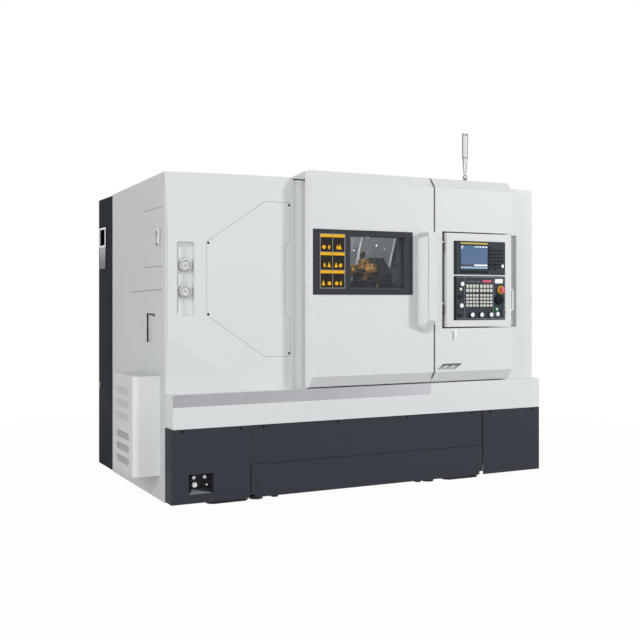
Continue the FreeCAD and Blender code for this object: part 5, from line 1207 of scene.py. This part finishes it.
def service_lining():
    """Dark faces at the head and rear of the side pocket."""
    low, high = SERVICE_LOW, SERVICE_HIGH
    lining = Work()
    lining.box((0.6, low[1] + 2, high[2] - 1.2), (high[0], high[1] - 0.2, high[2] + 0.2), 0)
    lining.box((0.6, high[1] - 1.2, low[2] + 0.2), (high[0], high[1] + 0.2, high[2] - 1.2), 0)
    lining.done("pocket_lining", "machine", rubber_and_shade_black)
    sleeve = Work()
    sleeve.turned([(0, 37), (28, 37), (28, 34.2), (0, 34.2), (0, 37)], (high[0] - 0.4, *SPINDLE_AT),
                  (1, 0, 0), 40)
    sleeve.turned([(0, 0), (0, 39), (-0.8, 38), (-0.8, 0)], (high[0] - 0.2, *SPINDLE_AT), (1, 0, 0),
                  40)
    sleeve.done("bar_feed_sleeve", "machine", shaded_side_coat)
    wedge = Work()
    wedge.prism([(low[1] + 3, high[2] - 1), (low[1] + 3, high[2] - 24), (high[1] - 8, high[2] - 8),
                 (high[1] - 8, high[2] - 1)],
                high[0] - 1.4, high[0] - 0.3, axis="x", soft=0)
    wedge.done("pocket_shade", "machine", case_and_shade_grey)
    places = [(-0.2, y, z) for y in (275, 515) for z in (807, 970, 1131)
              if not (z == 970 and y == 515)]
    screws("side_screws", "machine", places, (-1, 0, 0), upright_steel, 4.5, 1.6)


def side_lines():
    """Folded seam across the side and rubber round the hatch."""
    seam = Work()
    seam.prism([(834, 1225.4), (834, 1229), (166, 1241), (166, 1237.4)], -0.9, 0.4, axis="x",
               soft=0)
    seam.done("side_seam", "machine", seam_and_shade_grey)
    rubber = Work()
    for z in (HATCH_FOOT - 2.2, HATCH_HEAD - 0.2):
        rubber.box((-0.5, HATCH_FRONT, z), (2.0, 512, z + 3.2), 0)
    rubber.done("hatch_lines", "machine", seam_and_shade_grey)
    fold = Work()
    fold.box((-1.2, side_high.y - 9, side_low.z + 2), (1.5, side_high.y - 0.5, side_high.z - 30),
             0.6, 1)
    for y in (HATCH_FRONT - 2.5, HATCH_REAR - 3.5):
        fold.box((-0.7, y, HATCH_FOOT + 2), (1.6, y + 3.5, HATCH_HEAD - 1), 0.3, 1)
    fold.done("side_folds", "machine", white_coat)


def latch():
    """Plate, lock and slit of the side door's latch, with dark strips of painted shade along its
    left side and foot.
    """
    low, high = corners_of("side_door_latch")
    face = low.x
    middle_y, middle_z = (low.y + high.y) / 2, (low.z + high.z) / 2
    lift = Work()
    lift.prism(round_outline(middle_y - 26, middle_y + 26, middle_z - 46, middle_z + 46, 5),
               face - 0.8, face + 1.0, axis="x", soft=0.5)
    lift.prism(round_outline(middle_y - 20, middle_y + 20, middle_z - 38, middle_z + 14, 3),
               face - 2.4, face - 0.6, axis="x", soft=0.7)
    lift.done("latch_plate", "side_door_latch", latch_white)
    key = Work()
    key.turned([(0, 8), (2.6, 7.4), (2.6, 0)], (face - 0.6, middle_y, middle_z + 29), (-1, 0, 0),
               sides=28)
    key.done("latch_lock", "side_door_latch", chrome)
    slit_and_shade = Work()
    slit_and_shade.box((face - 3.4, middle_y - 0.9, middle_z + 24),
             (face - 3.0, middle_y + 0.9, middle_z + 34), 0)
    # Dark strips along the plate's left side and foot: painted shade.
    slit_and_shade.box((face - 3.2, middle_y + 17, middle_z - 44), (face + 1.2, middle_y + 26, middle_z + 40),
             0.4, 1)
    slit_and_shade.box((face - 3.2, middle_y - 2, middle_z - 46), (face + 1.2, middle_y + 26, middle_z - 38),
             0.4, 1)
    slit_and_shade.done("latch_slit_and_shade", "side_door_latch", rubber_and_shade_black)


def louver_backing():
    """Filter mats behind the rows of slots."""
    upper, lower = Work(), Work()
    for index, (bottom, top) in enumerate(LOUVER_BANDS):
        mat = upper if index < 3 else lower
        mat.box((louver_low.x + 3.2, 288, bottom - 6), (louver_low.x + 7, 572, top + 6), 0)
    upper.done("upper_filters", "machine", filter_pale)
    lower.done("lower_filters", "machine", filter_grey)
    rim = Work()
    rim.rim((206, 174), (610, 744), 6, -1.4, 0.2, axis="x", soft=0)
    rim.done("louver_seal", "machine", seam_and_shade_grey)


def couplings():
    """Quick couplings in the low pocket: two ball-nosed above, two ring-mouthed below."""
    back = corners_of("air_couplings")[1].y
    nuts, bodies, mouths, caps = Work(), Work(), Work(), Work()
    middle = 174.0
    for side in (-1, 1):
        top = (middle + side * 32, back, 178)
        nuts.turned([(0, 0), (0, 14), (9, 14), (10, 12.5), (10, 0)], top, sides=6)
        bodies.turned([(10, 8), (18, 8), (19, 9.0), (26, 9.0), (27, 6)], top, sides=36)
        caps.turned([(24, 5), (27, 9.4), (31, 9.6), (37, 7.4), (42, 4.4), (44.4, 0)], top, sides=3,
                    turn=math.radians(30))
        nuts.turned([(0, 0), (0, 16), (10, 16), (11, 14.5), (11, 0)],
                    (middle + side * 30, back, 138), sides=6)
    low_place = (middle + 30, back, 138)
    sleeve = [(11, 10), (16, 10), (17, 13.6), (24, 13.6), (25, 12.2), (27, 12.2), (28, 13.6),
              (40, 13.6)]
    nuts.turned(sleeve + [(43, 12.6), (44.2, 11), (44.2, 7.8), (33, 7.2)], low_place, sides=40)
    mouths.turned([(33, 7.4), (33.2, 0)], low_place, sides=24)
    ball = arc(30, 0, 15, range(165, 0, -15))
    caps.turned(ball + [(45, 0)], (middle - 30, back, 138), sides=40)
    mouths.prism(disc_outline(middle - 32, 146, 2.8, 12), back - 44.0, back - 38, soft=0)
    bodies.turned([(40, 5.5), (44, 5.0), (45, 0)], (middle + 38, back, 137), sides=24)
    nuts.done("coupling_nuts", "machine", screw_dark)
    bodies.done("coupling_bodies", "machine", chrome, stands_for=["air_couplings"])
    mouths.done("coupling_mouths", "machine", rubber_and_shade_black)
    caps.done("coupling_caps", "machine", glowing_white)
    # Dark sloping patch on the pocket floor under the couplings: painted shade.
    shade_patch = Work()
    shade_patch.prism([(101, 3.4), (243, 3.4), (135, 40)], 0, 0.6, axis="z", soft=0)
    slope = Matrix.Identity(4)
    slope[2][1], slope[2][3] = 30 / 57, 90.3 - 3 * 30 / 57
    shade_patch.faces.transform(slope)
    shade_patch.done("coupling_shade_patch", "machine", seam_and_shade_grey)


def plate_finish():
    """Dull steel plate, paler towards its head."""
    finish = Finish("plate_grey", (0.32, 0.31, 0.315), 0.5, Specular_IOR_Level=0.1)
    streak = finish.noise(1.0, (10, 160, 4))
    pale = finish.mix(streak, (0.46, 0.45, 0.45), (0.62, 0.61, 0.61))
    height = finish.axes()[2]
    finish.feed("Base Color", finish.mix(height.ramp(1.40, 1.55), (0.22, 0.20, 0.21), pale))
    return finish


def louver_front():
    """Sheet over the louvred box's front and its rounded corner, paler than the box as painted
    light.
    """
    low, high = louver_low, louver_high
    sheet = Work()
    sheet.box((low.x + LOUVER_CORNER, low.y - 0.35, low.z + 1), (-1, low.y + 0.3, high.z - 1), 0)
    centre_x, centre_y = low.x + LOUVER_CORNER, low.y + LOUVER_CORNER
    arcs = []
    for radius, angles in ((LOUVER_CORNER + 0.4, range(198, 271, 9)),
                           (LOUVER_CORNER, range(270, 197, -9))):
        arcs += arc(centre_x, centre_y, radius, angles)
    sheet.prism(arcs, low.z + 1, high.z - 1, axis="z", soft=0)
    sheet.done("louver_front_sheet", "machine", lit_front_white)


def cabinet_side():
    """Framed dark window, grey plate, lock and seam on the cabinet's left side."""
    low, high = corners_of("electric_cabinet")
    face = low.x
    rear_of_side = side_high.y
    near, far = rear_of_side + 172, rear_of_side + 345
    rim = Work()
    rim.frame((near + 2, 1540), (far - 4, 1676), (near + 22, 1553), (far - 22, 1663),
              face - 1.5, face + 2, axis="x", soft=1.0)
    rim.done("cabinet_window_rim", "machine", glowing_white)
    plate = Work()
    plate.box((face - 0.8, near + 6, 1392), (face + 0.6, far - 8, 1544), 0.3, 1)
    plate.done("cabinet_plate", "machine", plate_finish())
    pane = Work()
    pane.box((face + 1.2, near + 14, 1558), (face + 3.2, far - 16, 1670), 0)
    pane.done("cabinet_window_pane", "machine", pane_black)
    seam = Work()
    seam.box((face + 3.2, rear_of_side + 12, 433), (face + 4.2, high.y - 22, 436), 0)
    seam.done("cabinet_seam", "machine", black_and_shade)
    louver_front()
    lock = Work()
    lock.box((face + 1.0, rear_of_side + 328, 552), (face + 4.4, rear_of_side + 356, 608), 1.0)
    lock.done("cabinet_lock", "machine", lock_olive)


gauges()
service_lining()
side_lines()
latch()
louver_backing()
couplings()
cabinet_side()


# ---------------------------------------------------------------------------
# Front: guard cover seam and screws, ledge and skirt fittings, slot lamps
# ---------------------------------------------------------------------------

COVER_STEP = 0.763


def cover_seam():
    """Dark rubber in the gap round the access cover, and its corner screws."""
    low, high = corners_of("access_cover")
    step = guard_high.x * COVER_STEP
    notch = high.x - 36
    cover = [(low.x, 1094), (low.x, 1510), (step, high.z), (high.x, high.z), (high.x, 1526),
             (notch, 1502), (notch, 1094), (high.x, 1069), (high.x, low.z), (step, low.z)]
    ring = Work()
    outer, inner = grown(cover, 2.0), grown(cover, -0.3)
    for k in range(len(cover)):
        ring.prism([outer[k - 1], outer[k], inner[k], inner[k - 1]], low.y + 0.7, low.y + 2.6,
                   soft=0)
    ring.done("cover_seam", "machine", seam_and_shade_grey)
    places = [(238, low.y, 1504), (238, low.y, 1097), (744, low.y, 1741), (745, low.y, 863)]
    screws("cover_screws", "machine", places, (0, -1, 0), screw_dark, 7.0, 2.6)


def skirt_fittings():
    """Screws, quarter turns and seams of the skirt, and a dark strip of painted shade along its
    lengthwise fold.
    """
    low, high = corners_of("skirt_left")
    middle_low, middle_high = corners_of("skirt_middle")
    face = low.y
    places = [(x, face, 445) for x in (66, 412, 2174, 2518)]
    places += [(x, face + 6, 445) for x in (557, 1047, 1538, 2032)]
    screws("skirt_screws", "machine", places, (0, -1, 0), black_and_shade, 8.0, 2.4)
    turns = Work()
    for x in (middle_low.x + 30, middle_high.x - 30):
        turns.turned([(-1, 9), (1.2, 9), (2, 8), (2, 0)], (x, face, 112), sides=28)
    turns.done("skirt_turns", "machine", screw_dark)
    seams = Work()
    for left, right in ((high.x - 0.5, middle_low.x + 0.5),
                        (middle_high.x - 0.5, corners_of("skirt_right")[0].x + 0.5)):
        seams.box((left, face + 5, low.z + 20), (right, face + 9, high.z - 4), 0)
    seams.done("skirt_seams", "machine", rubber_and_shade_black)
    # Dark strip along the skirt's fold: painted shade in the crease.
    fold_shade = Work()
    fold_shade.box((middle_low.x, face + 5.4, 224.5), (middle_high.x, face + 7.4, 232), 0)
    fold_shade.done("skirt_fold_shade", "machine", black_and_shade)


def ledge_fittings():
    """Rubber under the ledge, its left end and the wear strip's rivets."""
    low, high = corners_of("front_ledge")
    line = Work()
    line.box((low.x + 2, low.y + 2, low.z - 1.0), (high.x - 2, low.y + 8, low.z + 0.4), 0)
    line.done("ledge_seal", "machine", rubber_and_shade_black)
    filler = Work()
    filler.box((side_low.x + 0.4, high.y - 1, low.z + 1), (low.x + 4, side_low.y + 1, high.z - 0.5),
               0)
    filler.done("ledge_end_filler", "machine", white_coat)
    strip_low, strip_high = corners_of("wear_strip")
    places = [(x, strip_low.y, strip_low.z + 16)
              for x in range(int(strip_low.x) + 90, int(strip_high.x) - 40, 240)]
    screws("strip_rivets", "machine", places, (0, -1, 0), stainless, 3.2, 0.9)


def slot_finish():
    """Grey that deepens toward the head of the slanted recess: painted shade under its top edge."""
    finish = Finish("slot_grey", (0.36, 0.38, 0.39), 0.5)
    height = finish.axes()[2]
    finish.feed("Base Color",
                finish.mix(height.ramp(0.742, 0.772), (0.42, 0.44, 0.45), (0.085, 0.095, 0.10)))
    return finish


def slot_lamps():
    """Two pale cells in the slanted recess under the console."""
    panel = corners_of("right_panel")[0]
    left, back = panel.x + 4, panel.y + 1.6
    floor_line = Work()
    base = [(left + 8, 738), (left + 55, 774), (left + 201, 774), (left + 149, 738)]
    floor_line.prism(base, back - 0.4, back + 0.4, soft=0)
    floor_line.done("slot_floor", "machine", slot_finish())
    cells = Work()
    for start in (64, 118):
        cell = [(left + start - 12, 748), (left + start + 14, 762), (left + start + 34, 763),
                (left + start + 8, 749)]
        cells.prism(cell, back - 1.2, back - 0.3, soft=0.2)
    cells.done("slot_cells", "machine", cell_white)


def panel_seam():
    """Dark seal between the sliding door and the right panel, set back from the bevels."""
    door_low, door_high = corners_of("main_door")
    back = 10.0
    outline = [(door_low.y + 4, 726), (door_low.y + 4, door_high.z - 66), (4, door_high.z - 5),
               (back, door_high.z - 5), (back, 668), (5, 666)]
    seal = Work()
    seal.prism(outline, door_high.x + 0.4, door_high.x + 3.2, axis="x", soft=0)
    seal.done("door_edge_seal", "sliding_door", seam_and_shade_grey)
    front, top = door_low.y, door_high.z
    face = [(front + 0.3, 717), (front + 0.3, top - 52), (0.4, top - 1), (0.4, top - 6),
            (front + 3, top - 56), (front + 3, 721), (4, 668), (0.6, 664)]
    strip = Work()
    strip.prism([(a - 0.5, b) for a, b in face], door_high.x - 6.5, door_high.x - 0.2, axis="x",
                soft=0)
    strip.done("door_edge_strip", "sliding_door", case_and_shade_grey)


def hinge_caps():
    """Caps on the console's hinge and a dark sheet of painted shade in the recess behind it."""
    panel = corners_of("right_panel")[0]
    recess_left = panel.x + 52
    x, y = recess_left + 13, panel.y + 8
    caps = Work()
    for z in (1150, 1540):
        caps.turned([(-61, 7.9), (-60.4, 7.95), (9, 7.95), (11, 6.5), (11, 0)], (x, y, z),
                    (0, 0, 1), 28)
    caps.done("hinge_caps", "machine", knob_black)
    # Dark sheet in the gap beside the console: painted shade.
    lining = Work()
    lining.box((recess_left + 0.4, panel.y + 17, 1000), (recess_left + 22, 98, 1610), 0)
    lining.done("recess_shade", "machine", rubber_and_shade_black)


cover_seam()
skirt_fittings()
ledge_fittings()
slot_lamps()
panel_seam()
hinge_caps()


# ---------------------------------------------------------------------------
# Work room: inner sheets, drops of coolant, tools on the turret, lamp bar
# ---------------------------------------------------------------------------

turret_low, turret_high = corners_of("turret_disc")
STATIONS = 8
FIRST_STATION = 135.0
TURRET_HUB = 50.0
TURRET_WIDTH = 90.0
TURRET_FACE = turret_high.x - TURRET_HUB - TURRET_WIDTH
TURRET_Y = (turret_low.y + turret_high.y) / 2
TURRET_Z = (turret_low.z + turret_high.z) / 2
TURRET_REACH = 190.0
WALL_FACE = corners_of("headstock_wall")[1].x


def inner_sheets():
    """Brushed sheets that lean forward above the slideways, with folded ends in a paler grey as
    painted highlight.
    """
    foot_y, foot_z, head_y, head_z = 1112.0, 1128.0, 882.0, 1682.0
    way = Vector((head_y - foot_y, head_z - foot_z)).normalized()
    out = Vector((-way.y, way.x))
    if out.x > 0:
        out = -out

    def strip(work, x0, x1, near, far, start=0.0, end=1.0, soft=0.0):
        base = Vector((foot_y, foot_z)).lerp(Vector((head_y, head_z)), start)
        top = Vector((foot_y, foot_z)).lerp(Vector((head_y, head_z)), end)
        outline = [base + out * near, top + out * near, top + out * far, base + out * far]
        work.prism([tuple(point) for point in outline], x0, x1, axis="x", soft=soft, steps=1)

    sheets, hems, rails = Work(), Work(), Work()
    strip(sheets, WALL_FACE - 4, 1716, 8, 11)
    strip(sheets, 1690, 2000, 0, 3)
    strip(hems, 1706, 1720, 4, 14, soft=1.5)
    strip(hems, 1992, 2004, -2, 9, soft=1.5)
    strip(hems, 1740, 2000, 3, 6, 0.975, 1.0)
    for x in (1560, 1610, 1650):
        strip(rails, x, x + 9, 11, 14, 0.35, 1.0, 1.0)
    sheets.done("inner_sheets", "machine", inner_steel)
    hems.done("inner_sheet_hems", "machine", hem_highlight_grey)
    rails.done("inner_sheet_rails", "machine", inner_steel)
    drops = Work()
    spots = [(1640, 0.86), (1668, 0.74), (1700, 0.83), (1742, 0.94), (1770, 0.90), (1812, 0.86),
             (1790, 0.72), (1850, 0.80),
             (1905, 0.66), (1880, 0.93), (1950, 0.85), (1960, 0.56), (1835, 0.60), (1720, 0.63),
             (1925, 0.76)]
    for index, (x, share) in enumerate(spots):
        place = Vector((foot_y, foot_z)).lerp(Vector((head_y, head_z)), share) + out * (3.0
                                                                                        if x > 1720
                                                                                        else 11.0)
        radius = 4.0 + (index * 7 % 5) * 0.9
        dome = [(0, radius), (radius * 0.4, radius * 0.92), (radius * 0.75, radius * 0.6),
                (radius * 0.9, 0)]
        drops.turned(dome, (x, place.x, place.y), (0, out.x, out.y), sides=14)
    drops.done("coolant_drops", "machine", drop_white)


def tools():
    """Clamp screws, steel bars, bright sockets and carbide tips on the turret's holders."""
    metals, rings, screws_work, tips = Work(), Work(), Work(), Work()
    for index in range(STATIONS):
        boring = index % 2 == 0
        metal, ring, bolt, tip = Work(), Work(), Work(), Work()
        if boring:
            height = TURRET_Z + TURRET_REACH - 45
            bar = [(60, 13.2), (62, 14.6), (74.6, 14.6), (75, 12.9), (110, 12.9), (117, 10.5),
                   (118, 8), (118, 0)]
            metal.turned(bar, (TURRET_FACE, TURRET_Y, height), (-1, 0, 0), 36)
            collar = [(61.5, 24), (66, 24), (71.5, 22.6), (73.2, 21), (73.2, 14.8), (61.5, 14.8)]
            ring.turned(collar, (TURRET_FACE, TURRET_Y, height), (-1, 0, 0), 40)
            for x in (TURRET_FACE - 16, TURRET_FACE - 46):
                screw_head(bolt, (x, TURRET_Y, height + 38), (0, 0, 1), 7, 4)
                screw_head(bolt, (x, TURRET_Y - 38, height), (0, -1, 0), 6, 3)
            tip.prism([(-2, -8), (9, -5), (7, 6), (-2, 5)], -2, 2.5, axis="z", soft=0)
            tip.faces.transform(Matrix.Translation((TURRET_FACE - 117, TURRET_Y - 12, height)))
        else:
            top = TURRET_Z + TURRET_REACH
            metal.box((TURRET_FACE - 42.4, TURRET_Y - 12.4, top - 6),
                      (TURRET_FACE - 16.6, TURRET_Y + 13.4, top + 42.4), 1.0)
            for z in (top - 24, top - 50, top - 76):
                screw_head(bolt, (TURRET_FACE - 52, TURRET_Y - 18, z), (-1, 0, 0), 7, 4)
                screw_head(bolt, (TURRET_FACE - 52, TURRET_Y + 18, z), (-1, 0, 0), 5, 3)
            ring.turned([(0, 6), (8, 6), (12, 4.5), (16, 4), (16, 2.4), (2, 2.4)],
                        (TURRET_FACE - 28, TURRET_Y - 26, top - 8), (0, -0.35, 1), 18)
            tip.prism([(TURRET_Y - 13, top + 30), (TURRET_Y - 13, top + 47),
                       (TURRET_Y + 2, top + 30)],
                      TURRET_FACE - 50.5, TURRET_FACE - 44, axis="x", soft=0.5)
        for gathered, part in ((metals, metal), (rings, ring), (screws_work, bolt), (tips, tip)):
            part.spin((0, TURRET_Y, TURRET_Z), (1, 0, 0), FIRST_STATION + index * 360.0 / STATIONS)
            gathered.take(part.faces)
    for place in arc(TURRET_Y, TURRET_Z, 44, range(12, 360, 60)):
        screw_head(screws_work, (TURRET_FACE - 18, *place), (-1, 0, 0), 6, 3.5)
    metals.done("tool_bars", "turret", dark_steel)
    rings.done("tool_sockets", "turret", socket_grey)
    screws_work.done("tool_screws", "turret", screw_dark)
    tips.done("carbide_tips", "turret", carbide_gold)


def lamp_bar():
    """Sealed work lamp under the roof."""
    case, tube = Work(), Work()
    case.prism(round_outline(1250, 1790, 90, 128, 8), 1868, 1886, axis="z", soft=1.5)
    case.done("work_lamp_case", "machine", gauge_and_shade_grey)
    tube.prism(round_outline(1262, 1778, 96, 122, 6), 1864, 1868.4, axis="z", soft=0.8)
    tube.done("work_lamp_glow", "machine", lamp_glow)


def headstock_fittings():
    """Bright ring round the chuck with its screws."""
    wall = Work()
    face = WALL_FACE
    low, high = corners_of("chuck_body")
    middle_y, middle_z = (low.y + high.y) / 2, (low.z + high.z) / 2
    wall.turned([(0, 150), (2.5, 150), (3, 146), (3, 124), (0, 124)], (face, middle_y, middle_z),
                (1, 0, 0), 64)
    wall.done("spindle_surround", "machine", bright_steel)
    places = [(face + 3, *place) for place in arc(middle_y, middle_z, 137, range(0, 360, 45))]
    screws("surround_screws", "machine", places, (1, 0, 0), screw_dark, 6, 3)


inner_sheets()
tools()
lamp_bar()
headstock_fittings()


# ---------------------------------------------------------------------------
# Above and behind: signal lamp, roof and hood, end cover, rear panel, cabinet back
# ---------------------------------------------------------------------------

def signal_lamp():
    """Pale glass tube with a notched crown on a tapering neck with a ball joint."""
    base = corners_of("lamp_stem")[1].z - 162
    lens_low, lens_high = corners_of("lamp_lens")
    x, y = (lens_low.x + lens_high.x) / 2, (lens_low.y + lens_high.y) / 2
    foot = [(4, 0), (4, 18), (8, 19.2), (12, 17), (20, 10)]
    ball = arc(35, 0, 15.5, range(150, 29, -12))
    neck = [(51, 8), (58, 8.4), (72, 9.8), (105, 13.4), (132, 15.8), (159, 16.8), (161.8, 15.2),
            (161.8, 0)]
    stem = Work()
    stem.turned(foot + ball + neck, (x, y, base), (0, 0, 1), 40)
    stem.done("lamp_neck", "machine", lamp_silver, stands_for=["lamp_stem"], smooth=50)
    tall = lens_high.z - lens_low.z
    tube = Work()
    body = [(0.2, 0), (0.2, 16), (2, 19.6), (4, 19.8), (tall - 16, 19.8), (tall - 15, 18),
            (tall - 13, 17), (tall - 13, 0)]
    tube.turned(body, (x, y, lens_low.z), (0, 0, 1), 40)
    tube.done("lamp_tube", "machine", lamp_glass, stands_for=["lamp_lens"], smooth=50)
    crown = Work()
    for side in (-1, 1):
        half = [(x + side * (11 + 8.5 * a), y + 12 * b)
                for a, b in arc(0, 0, 1, range(-90, 91, 18))]
        crown.prism(half, lens_high.z - 14.5, lens_high.z - 0.3, axis="z", soft=1.2)
    crown.turned([(0, 18.6), (2.4, 18.6), (2.4, 12), (0, 12)], (x, y, lens_high.z - 15), (0, 0, 1),
                 32)
    crown.done("lamp_crown", "machine", crown_grey)
    bands = Work()
    bands.turned([(0, 19.6), (0, 19.95), (5, 19.95), (5, 19.6)], (x, y, lens_low.z + 2), (0, 0, 1),
                 36)
    bands.done("lamp_band", "machine", lamp_silver)


def top_fittings():
    """Rubber in the roof's seam and a small plate over the corner behind the door."""
    roof_low, roof_high = corners_of("roof_panel")
    hood_back = corners_of("hood")[1].y
    seam = Work()
    seam.box((roof_high.x - 1.2, guard_high.y + 20, 1880),
             (roof_high.x + 0.6, hood_back - 6, roof_low.z + 10), 0)
    seam.done("roof_seam", "machine", rubber_and_shade_black)
    corner = Work()
    corner.box((guard_high.x - 3, 62, 1902.5), (roof_high.x - 1, roof_low.y + 2, 1905.5), 0.6)
    corner.done("roof_corner_plate", "machine", white_coat)


def end_fittings():
    """Screws along the outer edge of the end cover, whose top falls gently to the rear."""
    low, high = corners_of("end_cover")
    bend_y, bend_z, rear_z = low.y + 160, high.z - 6, corners_of("rear_panel")[1].z + 7
    places = []
    for share in (0.08, 0.5, 0.94):
        y = bend_y + share * (high.y - bend_y)
        places.append((high.x - 24, y, bend_z + share * (rear_z - bend_z) + 0.5))
    screws("end_cover_screws", "machine", places, (0, 0, 1), screw_dark, 6.5, 2.4)


def rear_fittings():
    """Screws, filter mat and edge rubber of the rear panel."""
    low, high = corners_of("rear_panel")
    places = [(x, high.y - 0.4, z) for x in (low.x + 30, (low.x + high.x) / 2, high.x - 40)
              for z in (low.z + 40, 900, high.z - 40)]
    screws("rear_screws", "machine", places, (0, 1, 0), screw_dark, 6.5, 2.4)
    mat = Work()
    mat.box((1885, low.y - 6, 405), (2215, low.y - 0.3, 565), 0.5)
    mat.done("rear_filter_mat", "machine", rubber_and_shade_black)
    strip = Work()
    strip.box((low.x - 16, low.y - 4, low.z + 3), (low.x + 12, low.y - 0.3, high.z - 3), 0.5)
    strip.done("rear_edge_seal", "machine", rubber_and_shade_black)


def cabinet_back():
    """Handle plate, rubber and cable glands of the electric cabinet."""
    low, high = corners_of("cabinet_door")
    body_low, body_high = corners_of("electric_cabinet")
    grip_low, grip_high = corners_of("cabinet_handle")
    back = high.y
    plate = Work()
    middle_x, middle_z = (grip_low.x + grip_high.x) / 2, (grip_low.z + grip_high.z) / 2
    plate.prism(round_outline(middle_x - 19, middle_x + 19, middle_z - 78, middle_z + 78, 8),
                back - 0.2, back + 0.0, soft=0)
    plate.done("cabinet_handle_plate", "cabinet_door", screw_dark)
    seal = Work()
    seal.rim((low.x + 3, low.z + 3), (high.x - 3, high.z - 3), 9,
             low.y - 2.5, low.y + 0.5, soft=0.4)
    seal.done("cabinet_door_seal", "cabinet_door", rubber_and_shade_black)
    glands, nuts = Work(), Work()
    for index in range(5):
        place = (160 + index * 70, (body_low.y + body_high.y) / 2, body_low.z + 0.2)
        nuts.turned([(0, 17), (7, 17), (7, 0)], place, (0, 0, -1), 6)
        glands.turned([(7, 12), (14, 12), (19, 9), (19, 5)], place, (0, 0, -1), 24)
    nuts.done("cable_gland_nuts", "machine", screw_dark)
    glands.done("cable_glands", "machine", knob_black)


signal_lamp()
top_fittings()
end_fittings()
rear_fittings()
cabinet_back()
